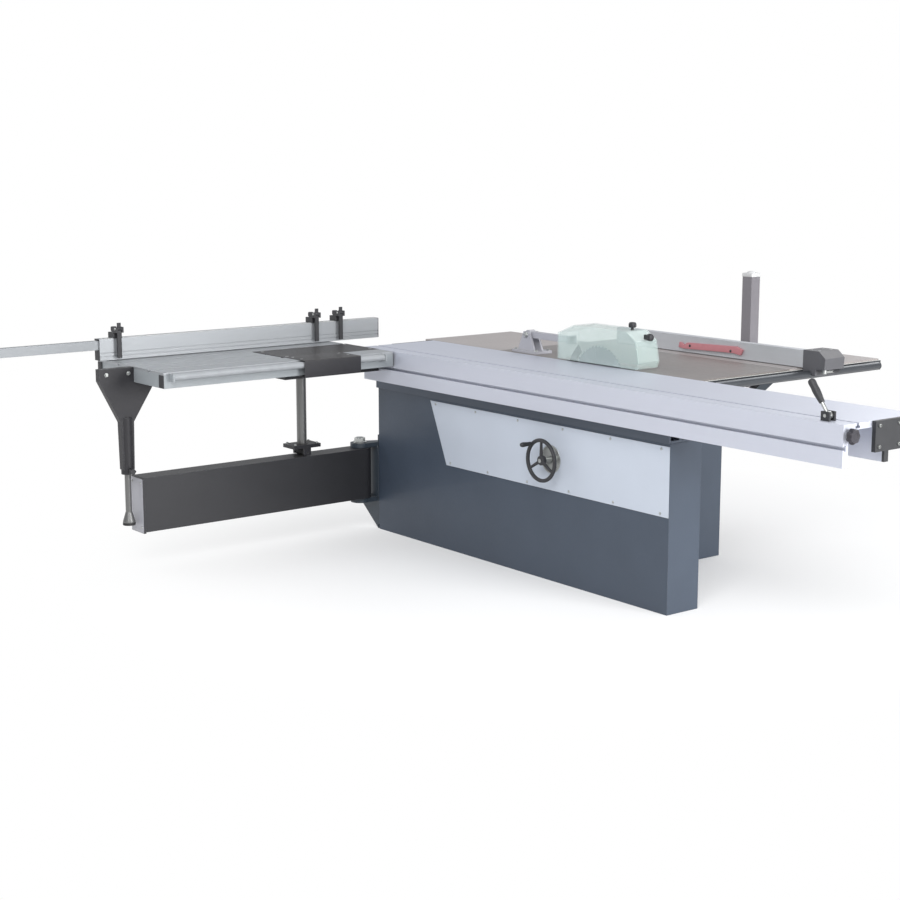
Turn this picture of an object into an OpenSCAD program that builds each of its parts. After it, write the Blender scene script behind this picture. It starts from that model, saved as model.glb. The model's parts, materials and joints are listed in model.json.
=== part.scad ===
// Sliding table saw: long sliding carriage, crosscut outrigger on a swing arm,
// cast table with rip fence, tilting and rising saw unit in a sheet-steel base.
// Millimetres. X runs along the slide (+X operator end), +Y is the rip side,
// Z is up. The origin is on the floor under the middle of the base.

/* [Base] */
// Height of the table surface above the floor
table_h = 850; // [800:1:900]
// Length of the front plinth
base_len = 1864; // [1700:2:2000]
// Depth of the front plinth
plinth_d = 166; // [150:1:190]
// Height of the fixed guide beam
beam_h = 140; // [130:1:150]
// Sheet thickness of the base
wall = 5; // [3:0.5:8]
// Diameter of the anchor holes in the base floor
anchor_d = 14; // [11:0.5:20]
// Outside diameter of the dust spigot
spigot_d = 120; // [100:1:125]

/* [Carriage] */
// Length of the sliding carriage
car_len = 2738; // [2400:2:3200]
// Height of the carriage side
car_h = 146; // [130:1:150]
// Thickness of the carriage top
car_top = 22; // [20:1:24]
// Diameter of the carriage rollers
roller_d = 28; // [24:1:30]
// Gap between a roller and its track
track_gap = 0.5; // [0.3:0.1:1]
// Clear width of the T-slot on the carriage
slot_w = 12; // [10:0.5:14]

/* [Outrigger] */
// Reach of the swing arm from its pivot
arm_len = 1130; // [1000:5:1200]
// Width of the swing arm
arm_w = 100; // [80:1:110]
// Height of the swing arm
arm_h = 232; // [180:1:240]
// Diameter of the swing arm pivot pin
arm_pin_d = 36; // [30:1:42]
// Diameter of the outrigger post
post_d = 44; // [36:1:56]
// Distance from the arm pivot to the post at rest
post_off = 315; // [280:5:400]
// Outer end of the crosscut table, from the machine centre
cross_out = 1640; // [1400:5:1800]
// Distance from the arm pivot to the crosscut fence
fence_off = 235; // [200:1:290]
// Height of the crosscut fence
fence_h = 92; // [80:1:100]
// Diameter of the drop leg stem
stem_d = 26; // [20:1:30]

/* [Saw unit] */
// Diameter of the saw blade
blade_d = 315; // [280:1:320]
// Thickness of the saw blade
blade_t = 3.2; // [2.4:0.1:4]
// Height of the blade above the table
blade_up = 80; // [60:1:90]
// Number of blade teeth
blade_teeth = 48; // [24:2:72]
// Diameter of the saw arbor
arbor_d = 24; // [20:1:30]
// Diameter of the lift guide rods
rod_d = 20; // [16:1:24]
// Diameter of the main motor
motor_d = 160; // [140:1:170]
// Radius of the tilt slot
tilt_r = 165; // [155:1:175]
// Diameter of the tilt pins
tilt_pin_d = 16; // [12:1:20]

/* [Tables and fences] */
// Length of the cast table
table_len = 1220; // [1000:5:1300]
// Width of the right side table
side_w = 570; // [450:5:700]
// Diameter of the rip fence guide bar
bar_d = 30; // [26:1:34]
// Length of the rip fence profile
rip_len = 1110; // [900:5:1200]
// Height of the overhead column
column_h = 510; // [400:5:600]

/* [Fits] */
// Radial clearance of a running shaft
run_fit = 0.06; // [0.02:0.01:0.1]
// Clearance between sliding flat parts
slide_gap = 0.3; // [0.2:0.05:0.6]

/* [Controls] */
// Diameter of the handwheels
wheel_d = 180; // [140:2:200]
// Diameter of the handwheel shafts
wheel_shaft_d = 24; // [18:1:28]
// Travel of the push buttons
press_travel = 3; // [2:0.5:5]

/* [Hidden] */
$fn = 64;
e = 0.01;
x0 = -base_len / 2;
x1 = base_len / 2;
yf = -430;
yp = yf + plinth_d;
yr = 430;
cx0 = -520;
cx1 = 390;
cab_h = table_h - 45;
beam_top = table_h - 50;
plinth_h = beam_top - beam_h;
// Blade plane and middle
by = -83;
bx = 165;
br = blade_d / 2;
az = blade_up - br;
ar = arbor_d / 2;
tpr = tilt_pin_d / 2;
rod_x0 = 60;
rod_x1 = 270;
screw_x = 308;
mz = -270;
brg_r = 24;
// Carriage section
cy0 = -493;
cy1 = -97;
cz0 = table_h - car_h;
ctz = table_h - car_top;
rr = roller_d / 2;
bm_y0 = -437;
bm_y1 = -317;
cin0 = bm_y0 - roller_d - 2 * track_gap;
cin1 = bm_y1 + roller_d + 2 * track_gap;
skirt_y = yp - 2;
knob_z = table_h - 38;
car_x0 = x0 - 22;
car_x1 = car_x0 + car_len;
lev_x = car_x1 - 94;
trk_z = table_h - 90;
slot_z = table_h - 80;
// Swing arm
px = x0 - 53;
py = -500;
arm_z = 152;
arm_top = arm_z + arm_h;
pin_r = arm_pin_d / 2;
post_y = py - post_off;
tr_r = 16;
tr_z = arm_top + 0.4 + tr_r;
plate_z = tr_z + 20;
// Outrigger
fx = px - fence_off;
cross_x0 = fx - 80;
cross_x1 = px + 265;
clamp_x0 = px - 115;
clamp_x1 = px + 145;
roll_x = cross_x1 + 18;
fz = table_h + 3;
ftop = fz + fence_h;
cell_z = fz + 45;
cell_h = 40;
out_y = -cross_out;
block_z = table_h - 98;
rail_z0 = table_h - 65;
rail_z1 = table_h - 10;
roll_z = table_h - 18;
leg_x = px - 8;
leg_y = py - arm_len - 46;
leg_low = table_h - 668;
stop_y = [-597, -464, -1597];
flip_x = fx + 38;
flip_z = ftop + 40;
fence_piv_y = -600;
// Tables
tx1 = 750;
tx0 = tx1 - table_len;
ty0 = -93;
side_y1 = yr + side_w;
bar_x = tx1 + 50;
bar_z = table_h - 20;
rip_y = 500;
rip_pin_x = 862;
// Handwheels
wx = 265;
wz = plinth_h - 155;
twy = -100;
twz = cab_h - 325;
wr = wheel_d / 2 - 8;
wsr = wheel_shaft_d / 2;
// Guard
gx = -330;
gz = table_h + 80;

// Helpers
module box(x_a, x_b, y_a, y_b, z_a, z_b) {
  translate([x_a, y_a, z_a]) cube([x_b - x_a, y_b - y_a, z_b - z_a]);
}
module cyl_x(r, x_a, x_b, y, z) {
  translate([x_a, y, z]) rotate([0, 90, 0]) cylinder(r = r, h = x_b - x_a);
}
module cyl_y(r, y_a, y_b, x, z) {
  translate([x, y_a, z]) rotate([-90, 0, 0]) cylinder(r = r, h = y_b - y_a);
}
module cyl_z(r, z_a, z_b, x, y) {
  translate([x, y, z_a]) cylinder(r = r, h = z_b - z_a);
}
// Section in (y, z) drawn out along x
module along_x(x_a, x_b) {
  translate([x_a, 0, 0]) rotate([90, 0, 90]) linear_extrude(height = x_b - x_a) children();
}
// Section in (x, z) drawn out along y
module along_y(y_a, y_b) {
  translate([0, y_b, 0]) rotate([90, 0, 0]) linear_extrude(height = y_b - y_a) children();
}
// Tube with closed walls along y
module tube_y(x_a, x_b, y_a, y_b, z_a, z_b, t = 3) {
  difference() {
    box(x_a, x_b, y_a, y_b, z_a, z_b);
    box(x_a + t, x_b - t, y_a - 1, y_b + 1, z_a + t, z_b - t);
  }
}
module tube_x(x_a, x_b, y_a, y_b, z_a, z_b, t = 3) {
  difference() {
    box(x_a, x_b, y_a, y_b, z_a, z_b);
    box(x_a - 1, x_b + 1, y_a + t, y_b - t, z_a + t, z_b - t);
  }
}
// Frame with its zero on the tilt axis
module unit() {
  translate([0, by, table_h]) children();
}

// Welded sheet housing: long plinth and the cabinet behind it, one open inside
module base_housing() color([0.25, 0.30, 0.36]) {
  difference() {
    union() {
      box(x0, x1, yf, yp, 0, plinth_h);
      box(cx0, cx1, yp, yr, 0, cab_h);
      cyl_x(spigot_d / 2, cx0 - 70, cx0 + 1, 100, 200);
      for (z = [150, cab_h - 285]) {
        box(-358, -346, yr - 1, yr + 13, z - 12, z);
        box(-358, -346, yr - 1, yr + 13, z + 60, z + 72);
        cyl_z(4, z - 1, z + 61, -352, yr + 8);
      }
    }
    box(x0 + wall, x1 - wall, yf + wall, yp - wall, wall, plinth_h - wall);
    box(cx0 + wall, cx1 - wall, yp + wall, yr - wall, wall, cab_h + 1);
    // Opening between plinth and cabinet, and the gap for the tilted blade
    box(-300, 375, yp - wall - 1, yp + wall + 1, 60, cab_h - 45);
    box(bx - 150, bx + 150, yp - 60, yp + wall + 1, plinth_h - wall - 1, plinth_h + 1);
    cyl_x(spigot_d / 2 - 4, cx0 - 71, cx0 + wall + 1, 100, 200);
    // Service opening
    box(-330, 230, yr - wall - 1, yr + 1, 110, cab_h - 155);
    cyl_y(wsr + 1, yf - 1, yf + wall + 1, wx, wz);
    cyl_x(wsr + 1, cx1 - wall - 1, cx1 + 1, twy, twz);
    for (x = [-470, 340], y = [-220, 380]) cyl_z(anchor_d / 2, -1, wall + 1, x, y);
    // Cooling slots beside the motor
    for (i = [0:7]) box(cx1 - wall - 1, cx1 + 1, 60, 200, 150 + i * 24, 160 + i * 24);
  }
  // Shaft bosses behind the walls
  difference() {
    cyl_y(wsr + 12, yf + wall, yf + wall + 22, wx, wz);
    cyl_y(wsr + run_fit, yf, yf + wall + 30, wx, wz);
  }
  difference() {
    cyl_x(wsr + 12, cx1 - wall - 16, cx1 - wall, twy, twz);
    cyl_x(wsr + run_fit, cx1 - 60, cx1, twy, twz);
  }
}

// Silver cover on the plinth, its left edge slanted
module front_panel() color([0.80, 0.83, 0.88]) {
  difference() {
    along_y(yf - 3, yf)
      polygon([[-423, plinth_h - 283], [x1 - 2, plinth_h - 283], [x1 - 2, plinth_h - 12],
        [-538, plinth_h - 12]]);
    cyl_y(wsr + 4, yf - 4, yf + 1, wx, wz);
  }
}

module service_door() color([0.25, 0.30, 0.36]) {
  difference() {
    union() {
      box(-344, 245, yr, yr + 4, 95, cab_h - 140);
      for (z = [150, cab_h - 285]) {
        cyl_z(7, z + 0.5, z + 59.5, -352, yr + 8);
        box(-352, -330, yr + 4, yr + 8, z + 0.5, z + 59.5);
      }
      box(205, 225, yr + 4, yr + 22, 340, 420);
    }
    for (z = [150, cab_h - 285]) cyl_z(4 + run_fit, z - 1, z + 61, -352, yr + 8);
    for (i = [0:9]) box(-250, 120, yr - 1, yr + 5, 200 + i * 26, 208 + i * 26);
  }
}

// Hinge bracket on the outfeed end with the pin of the swing arm
module arm_bracket() color([0.22, 0.26, 0.31]) {
  box(x0 - 12, x0, yf + 2, yf + 130, 20, 440);
  for (z = [arm_z - 22, arm_top + 1]) translate([0, 0, z]) linear_extrude(height = 21) {
    polygon([[x0 - 12, yf + 120], [x0 - 6, yf + 120], [x0 - 6, yf + 2], [x0 - 12, yf + 2],
      [px + 42, py - 8], [px, py - 44], [px - 44, py], [px - 40, py + 16]]);
    translate([px, py]) circle(r = 44);
  }
  along_y(yf + 2, yf + 14)
    polygon([[x0 - 12, 0], [x0 - 12, 21], [x0 - 6, 21], [x0 - 6, arm_z - 22],
      [x0 - 150, arm_z - 22], [x0 - 150, 112]]);
  cyl_z(pin_r, arm_z - 22, arm_top + 30, px, py);
}

// Box arm that swings under the crosscut table
module swing_arm() color([0.30, 0.30, 0.32]) {
  difference() {
    union() {
      box(px - arm_w / 2, px + arm_w / 2, py - arm_len, py, arm_z, arm_top);
      cyl_z(arm_w / 2, arm_z, arm_top, px, py);
    }
    cyl_z(pin_r + run_fit, arm_z - 1, arm_top + 1, px, py);
    box(px - arm_w / 2 + 6, px + arm_w / 2 - 6, py - arm_len + 8, py - 70, arm_z + 6, arm_top - 6);
  }
  box(px - arm_w / 2 - 4, px + arm_w / 2 + 4, py - arm_len - 10, py - arm_len, arm_z - 4, arm_top - 2);
}

// Fixed beam under the carriage with its hardened side tracks
module guide_beam() color([0.45, 0.46, 0.48]) {
  difference() {
    union() {
      box(x0 - 8, x1 - 2, bm_y0, bm_y1, plinth_h, cz0 - 2);
      box(x0 - 8, x1 - 112, bm_y0, bm_y1, cz0 - 3, beam_top);
    }
    for (y = [bm_y0 + 10, bm_y0 + 66])
      box(x0 - 9, x1 - 1, y, y + 44, plinth_h + 10, beam_top - 10);
    for (x = [-700:350:700]) cyl_z(5.5, plinth_h - 1, plinth_h + 12, x, bm_y0 + 60 - 30);
  }
}

// Roller shuttle that runs at half the speed of the carriage
module shuttle() color([0.35, 0.36, 0.38]) {
  for (y = [bm_y0 - rr - track_gap, bm_y1 + rr + track_gap]) {
    box(-700, 700, y - 12, y + 12, trk_z + 18, trk_z + 24);
    box(-700, 700, y - 12, y + 12, trk_z - 24, trk_z - 18);
    for (x = [-650:260:650]) cyl_z(rr, trk_z - 18, trk_z + 18, x, y);
    for (x = [-520:260:520]) box(x - 30, x + 30, y - 10, y + 10, trk_z - 18, trk_z + 18);
  }
}

// Extruded carriage: skirts on both sides of the beam, undercut lip at the blade
module carriage() color([0.74, 0.76, 0.80]) {
  difference() {
    along_x(car_x0, car_x1) polygon([
      [cy0, cz0], [cin0, cz0], [cin0, beam_top - 10], [-440, beam_top - 10], [-440, ctz],
      [cin1, ctz], [cin1, cz0], [skirt_y, cz0], [skirt_y, ctz],
      [cy1 - 28, ctz], [cy1 - 10, table_h - 4], [cy1, table_h - 4], [cy1, table_h],
      [-414, table_h], [-414, table_h - 10], [-408, table_h - 10], [-408, table_h - 18],
      [-432, table_h - 18], [-432, table_h - 10], [-414 - slot_w, table_h - 10],
      [-414 - slot_w, table_h], [cy0, table_h],
      [cy0, slot_z + 6], [cy0 + 8, slot_z + 6], [cy0 + 8, slot_z + 10], [cy0 + 15, slot_z + 10],
      [cy0 + 15, slot_z - 10], [cy0 + 8, slot_z - 10], [cy0 + 8, slot_z - 6], [cy0, slot_z - 6]]);
    cyl_x(6 + run_fit, car_x1 - 40, car_x1 + 1, -466, knob_z);
  }
}

// Dark end plates and the clevis of the lock lever
module carriage_caps() color([0.20, 0.20, 0.21]) {
  for (x = [car_x0 - 10, car_x1]) {
    along_x(x, x + 10) polygon([[-330, ctz], [cy1 - 32, ctz], [cy1 - 14, table_h - 4],
      [cy1 - 4, table_h - 4], [cy1 - 4, table_h], [-330, table_h]]);
    box(x, x + 10, cin1, skirt_y, cz0, ctz);
  }
  // Deep dark block that closes the operator end
  box(car_x1, car_x1 + 16, -345, cy1 - 4, cz0 + 40, table_h);
  for (y = [-476, -448]) difference() {
    box(lev_x - 18, lev_x + 18, y, y + 8, table_h, table_h + 32);
    cyl_y(6 + run_fit, y - 1, y + 9, lev_x, table_h + 18);
  }
}

// Push handle and lock lever at the operator end
module carriage_lever() color([0.13, 0.13, 0.14]) {
  cyl_y(6, -478, -438, lev_x, table_h + 18);
  cyl_y(13, -467.5, -448.5, lev_x, table_h + 18);
  translate([lev_x, -458, table_h + 18]) rotate([0, -36, 0]) {
    cylinder(r = 7, h = 62);
    translate([0, 0, 50]) cylinder(r = 14, h = 75);
    translate([0, 0, 125]) sphere(r = 14);
  }
}

module end_knob() color([0.16, 0.16, 0.17]) {
  cyl_x(6, car_x1 - 36, car_x1 + 12, -466, knob_z);
  cyl_x(14, car_x1 + 0.4, car_x1 + 8, -466, knob_z);
  cyl_x(28, car_x1 + 8, car_x1 + 30, -466, knob_z);
}

// Steel frame of the crosscut table
module crosscut_frame() color([0.34, 0.36, 0.37]) {
  tube_y(cross_x1 - 40, cross_x1, out_y, -500, rail_z0, rail_z1);
  tube_y(cross_x0, cross_x0 + 40, out_y, -500, rail_z0, rail_z1);
  tube_x(cross_x0 + 40, cross_x1 - 40, out_y, out_y + 40, rail_z0, rail_z1);
  tube_x(cross_x0 + 40, cross_x1 - 40, -1080, -1040, rail_z0, rail_z1);
  box(cross_x0 + 40, clamp_x0, -510, -500, rail_z0, rail_z1);
  box(clamp_x1, cross_x1 - 40, -510, -500, rail_z0, rail_z1);
  // Ends of the loading roller
  for (y = [out_y + 24, -566]) {
    box(cross_x1, cross_x1 + 34, y, y + 8, roll_z - 17, roll_z + 14);
  }
  cyl_y(6, out_y + 32, out_y + 50, roll_x, roll_z);
  cyl_y(6, -576, -566, roll_x, roll_z);
}

module crosscut_slats() color([0.82, 0.83, 0.84]) {
  difference() {
    union() {
      box(cross_x0, clamp_x0 - 15, out_y, -500, rail_z1, table_h);
      box(clamp_x1 + 5, cross_x1 - 2, out_y, -500, rail_z1, table_h);
      for (i = [0:1]) {
        x = clamp_x0 - 5 + i * 132;
        box(x, x + 122, out_y, -1000, rail_z1, table_h);
      }
    }
    cyl_z(10 + run_fit, rail_z1 - 1, table_h + 1, fx, fence_piv_y);
    for (i = [0:3]) {
      x = cross_x0 + 10 + i * 40;
      box(x, x + 4, out_y - 1, -499, table_h - 2, table_h + 1);
    }
  }
}

module edge_roller() color([0.30, 0.31, 0.32]) {
  difference() {
    cyl_y(14, out_y + 33, -567, roll_x, roll_z);
    cyl_y(6 + run_fit, out_y + 31, out_y + 60, roll_x, roll_z);
    cyl_y(6 + run_fit, -586, -566, roll_x, roll_z);
  }
}

// Dark clamp box between the frame and the side of the carriage
module frame_clamp() color([0.28, 0.28, 0.29]) {
  difference() {
    box(clamp_x0, clamp_x1, -990, cy0, block_z, table_h);
    box(clamp_x0 + 8, clamp_x1 - 8, -982, cy0 - 8, block_z + 8, table_h - 8);
  }
  for (x = [clamp_x0 + 20, clamp_x1 - 40]) box(x, x + 24, cy0, cy0 + 7.6, slot_z - 5.6, slot_z + 5.6);
}

// Crosscut fence with the cell for its extension
module crosscut_fence() color([0.80, 0.81, 0.82]) {
  difference() {
    box(fx - 20, fx + 20, -1680, -240, fz, ftop);
    box(fx - 12, fx + 12, -1681, -700, cell_z, cell_z + cell_h);
    box(fx - 5, fx + 5, -1681, -239, ftop - 4, ftop + 1);
    for (z = [fz + 14, fz + 30]) box(fx + 17, fx + 21, -1681, -239, z, z + 4);
  }
  cyl_z(10, table_h - 16, fz, fx, fence_piv_y);
  cyl_z(16, table_h + 0.3, fz, fx, fence_piv_y);
}

module fence_extension() color([0.76, 0.77, 0.78]) {
  box(fx - 12 + slide_gap, fx + 12 - slide_gap, -2250, -1350,
    cell_z + slide_gap, cell_z + cell_h - slide_gap);
  box(fx - 15, fx + 15, -2262, -2250, cell_z - 3, cell_z + cell_h + 3);
}

// Blocks that carry the three flip stops
module stop_carriers() color([0.14, 0.14, 0.15]) {
  for (y = stop_y) {
    box(fx - 24, fx + 24, y - 20, y + 20, ftop, ftop + 24);
    for (s = [-18, 10]) difference() {
      box(fx + 4, flip_x + 8, y + s, y + s + 8, ftop + 24, flip_z + 8);
      cyl_y(4 + run_fit, y + s - 1, y + s + 9, flip_x, flip_z);
    }
    cyl_z(10, ftop + 24, ftop + 46, fx - 10, y);
  }
}

module flip_stop(y) {
  cyl_y(4, y - 18, y + 18, flip_x, flip_z);
  cyl_y(8, y - 9.6, y + 9.6, flip_x, flip_z);
  box(flip_x - 4, flip_x + 4, y - 9.6, y + 9.6, fz + 8, flip_z);
  box(flip_x - 3, flip_x + 3, y - 8, y + 8, flip_z, flip_z + 26);
}
module flip_stop_a() color([0.12, 0.12, 0.13]) flip_stop(stop_y[0]);
module flip_stop_b() color([0.12, 0.12, 0.13]) flip_stop(stop_y[1]);
module flip_stop_c() color([0.12, 0.12, 0.13]) flip_stop(stop_y[2]);

// Post between the clamp box and the trolley on the arm
module table_post() color([0.42, 0.42, 0.42]) {
  cyl_z(post_d / 2, plate_z + 16.4, block_z, px, post_y);
  cyl_z(post_d / 2 + 24, block_z - 10, block_z, px, post_y);
  cyl_z(post_d / 2 - 8, plate_z, plate_z + 17, px, post_y);
}

module trolley() color([0.25, 0.25, 0.26]) {
  difference() {
    union() {
      box(px - 46, px + 46, post_y - 70, post_y + 70, plate_z, plate_z + 16);
      for (s = [-46, 34]) box(px + s, px + s + 12, post_y - 18, post_y + 18, tr_z - 12, plate_z);
    }
    cyl_z(post_d / 2 - 8 + run_fit, plate_z - 1, plate_z + 17, px, post_y);
    cyl_x(6 + run_fit, px - 47, px + 47, post_y, tr_z);
  }
}

module trolley_roller() color([0.15, 0.15, 0.16]) {
  cyl_x(tr_r, px - 33, px + 33, post_y, tr_z);
  cyl_x(6, px - 45, px + 45, post_y, tr_z);
}

// Tapered drop leg at the outer end of the crosscut table, clear of the arm
module outer_leg() color([0.28, 0.28, 0.29]) {
  difference() {
    union() {
      along_x(leg_x - 16, leg_x + 16) polygon([
        [out_y - 157, table_h - 2], [out_y, table_h - 2], [out_y, rail_z0], [out_y + 84, rail_z0],
        [out_y + 84, table_h - 90], [leg_y + 30, table_h - 230], [leg_y + 26, table_h - 430],
        [leg_y - 26, table_h - 430], [leg_y - 30, table_h - 230], [out_y - 157, table_h - 52]]);
      cyl_z(26, table_h - 450, table_h - 210, leg_x, leg_y);
    }
    cyl_z(stem_d / 2 + run_fit, table_h - 451, table_h - 150, leg_x, leg_y);
  }
}

module leg_stem() color([0.55, 0.55, 0.55]) {
  cyl_z(stem_d / 2, leg_low + 18, table_h - 170, leg_x, leg_y);
  translate([leg_x, leg_y, leg_low + 16]) cylinder(r1 = 26, r2 = stem_d / 2 + 1, h = 40);
  cyl_z(26, leg_low, leg_low + 16, leg_x, leg_y);
}

// Cast table: plate, rim and cross ribs, stepped seat for the insert
module cast_table() color([0.62, 0.60, 0.59]) {
  difference() {
    box(tx0, tx1, ty0, yr, cab_h, table_h);
    difference() {
      box(tx0 + 14, tx1 - 14, ty0 + 14, yr - 14, cab_h - 1, table_h - 14);
      for (x = [-300, -150, 480, 600]) box(x, x + 10, ty0, yr, cab_h - 2, table_h);
      box(tx0, tx1, 240, 250, cab_h - 2, table_h);
    }
    box(-110, cx1, ty0 - 1, 235, cab_h - 1, table_h - 14);
    box(-40.3, 380.3, ty0 - 1, -34.7, table_h - 8, table_h + 1);
    box(-34, 374, ty0 - 1, -41, cab_h, table_h);
  }
}

module throat_insert() color([0.70, 0.71, 0.72]) {
  difference() {
    box(-40, 380, by + 4, -35, table_h - 8, table_h);
    for (x = [-28, 368]) translate([x, -54, table_h - 3]) cylinder(r1 = 3, r2 = 6, h = 3.01);
  }
}

module tray(x_a, x_b, y_a, y_b) {
  difference() {
    box(x_a, x_b, y_a, y_b, table_h - 38, table_h);
    box(x_a + 4, x_b - 4, y_a + 4, y_b - 4, table_h - 39, table_h - 5);
  }
  for (y = [y_a + 180 : 180 : y_b - 60]) box(x_a + 4, x_b - 4, y, y + 6, table_h - 30, table_h - 5);
}
module side_table() color([0.60, 0.60, 0.61]) tray(tx0, tx1, yr, side_y1);
module outfeed_table() color([0.60, 0.60, 0.61]) tray(-1020, tx0, ty0, yr);

// Diagonal struts of the sheet tables
module table_struts() color([0.24, 0.28, 0.33]) {
  for (x = [-460, 320]) along_x(x, x + 40) polygon([[yr, cab_h - 285], [yr, cab_h - 225],
    [side_y1 - 130, table_h - 38], [side_y1 - 60, table_h - 38]]);
  along_y(120, 160) polygon([[cx0, cab_h - 285], [cx0, cab_h - 225], [-860, table_h - 38], [-930, table_h - 38]]);
}

// Rail on the operator edge and the round bar of the rip fence
module guide_bar() color([0.26, 0.26, 0.28]) {
  box(tx1, tx1 + 12, -80, side_y1, table_h - 46, table_h - 6);
  for (y = [-30, 460, side_y1 - 100]) box(tx1 + 12, bar_x - 6, y, y + 24, bar_z - 7, bar_z + 7);
  cyl_y(bar_d / 2, -60, side_y1 - 65, bar_x, bar_z);
}

// Saddle that runs on the guide bar, with the clamp lever under its nose
module rip_carrier() color([0.20, 0.20, 0.22]) {
  difference() {
    union() {
      box(bar_x - 32, bar_x + 34, 490, 610, bar_z - 5, table_h + 3);
      along_y(490, 610) polygon([[768, table_h + 3], [880, table_h + 3], [884, table_h + 50],
        [850, table_h + 78], [768, table_h + 78]]);
    }
    cyl_y(bar_d / 2 + run_fit, 489, 611, bar_x, bar_z);
    box(bar_x - bar_d / 2 - run_fit, bar_x + bar_d / 2 + run_fit, 489, 611, bar_z - 6, bar_z);
    box(bar_x - 40, bar_x, 489, 611, bar_z - 6, bar_z + 10);
    cyl_z(5 + run_fit, table_h + 2, table_h + 22, rip_pin_x, 512);
  }
}

module rip_profile() color([0.72, 0.73, 0.75]) {
  difference() {
    box(768 - rip_len, 768, rip_y, rip_y + 36, table_h + 3, table_h + 75);
    box(767 - rip_len, 769, rip_y + 4, rip_y + 32, table_h + 8, table_h + 38);
    box(767 - rip_len, 769, rip_y + 4, rip_y + 32, table_h + 42, table_h + 70);
    for (z = [table_h + 20, table_h + 55]) box(767 - rip_len, 769, rip_y + 34, rip_y + 37, z, z + 6);
  }
}

module rip_lever() color([0.12, 0.12, 0.13]) {
  cyl_z(5, table_h - 14, table_h + 20, rip_pin_x, 512);
  cyl_z(11, table_h - 14, table_h + 2.6, rip_pin_x, 512);
  box(rip_pin_x - 6, rip_pin_x + 6, 512, 570, table_h - 12, table_h - 2);
  cyl_y(8, 560, 608, rip_pin_x, table_h - 7);
}

module push_stick() color([0.45, 0.10, 0.12]) {
  along_y(rip_y - 12, rip_y) polygon([[60, table_h + 22], [90, table_h + 18], [380, table_h + 26],
    [425, table_h + 20], [436, table_h + 44], [400, table_h + 56], [110, table_h + 46],
    [96, table_h + 34], [66, table_h + 46]]);
}

// Column at the far edge of the side table
module column() color([0.40, 0.39, 0.41]) {
  box(-90, 50, side_y1, side_y1 + 8, table_h - 36, table_h - 4);
  difference() {
    box(-48, 8, side_y1 + 8, side_y1 + 64, table_h + 300 - column_h, table_h + 300);
    box(-44, 4, side_y1 + 12, side_y1 + 60, table_h + 299 - column_h, table_h + 301);
  }
}
module column_cap() color([0.75, 0.75, 0.76]) {
  box(-51, 11, side_y1 + 5, side_y1 + 67, table_h + 300, table_h + 318);
  cyl_z(20, table_h + 318, table_h + 326, -20, side_y1 + 36);
}

// Guard: stand behind the blade, arm, clear hood
module guard_stand() color([0.45, 0.45, 0.48]) {
  difference() {
    union() {
      box(-410, -250, -75, 20, table_h, table_h + 12);
      for (y = [-62, -18]) along_y(y, y + 10) polygon([[-385, table_h + 12], [-275, table_h + 12],
        [gx + 18, gz + 14], [gx - 18, gz + 14]]);
    }
    for (y = [-62, -18]) cyl_y(8 + run_fit, y - 1, y + 11, gx, gz);
  }
}
module guard_arm() color([0.55, 0.55, 0.57]) {
  cyl_y(8, -62, -8, gx, gz);
  cyl_y(20, -51.5, -18.5, gx, gz);
  box(gx, -60, -48, -22, gz - 14, gz + 14);
}
module hood_side(d) {
  polygon([[-60 + d, table_h + 8 - d * 2], [418 - d, table_h + 8 - d * 2], [430 - d, table_h + 36],
    [412 - d, table_h + 120 - d * 0.6], [352 - d * 0.4, table_h + 158 - d], [40 + d * 0.4, table_h + 158 - d],
    [-60 + d, table_h + 118 - d * 0.6]]);
}
module guard_hood() color([0.84, 0.93, 0.91]) {
  difference() {
    along_y(-116, 4) hood_side(0);
    along_y(-112, 0) hood_side(4);
  }
}
module guard_knob() color([0.15, 0.15, 0.16]) {
  cyl_z(6, table_h + 158, table_h + 168, 330, -56);
  cyl_z(17, table_h + 168, table_h + 190, 330, -56);
  cyl_x(16, 416, 446, -56, table_h + 136);
  box(404, 420, -64, -48, table_h + 126, table_h + 146);
}

// Ring sector round the tilt axis; angles from straight down towards +y
module sector(r_a, r_b, a_a, a_b, x_a, x_b) {
  a_m = (a_a + a_b) / 2;
  far = 2 * r_b;
  long = x_b - x_a;
  translate([x_a, 0, 0]) rotate([0, 90, 0]) intersection() {
    difference() {
      cylinder(r = r_b, h = long);
      translate([0, 0, -1]) cylinder(r = r_a, h = long + 2);
    }
    translate([0, 0, -1]) linear_extrude(long + 2) polygon([
      [0, 0], far * [cos(a_a), sin(a_a)], far * [cos(a_m), sin(a_m)], far * [cos(a_b), sin(a_b)]
    ]);
  }
}
// Fixed quadrants with the arc slots of the tilt
module tilt_quadrants() color([0.40, 0.41, 0.42]) unit() {
  for (x = [-75, 345]) {
    difference() {
      union() {
        sector(tilt_r - 35, tilt_r + 30, -58, 68, x, x + 10);
        box(x, x + 10, 128, 182, -80, -14);
        box(x - 8, x + 18, 128, 182, -26, -14);
      }
      sector(tilt_r - tpr - run_fit, tilt_r + tpr + run_fit, -44, 54, x - 1, x + 11);
    }
  }
}

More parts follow.
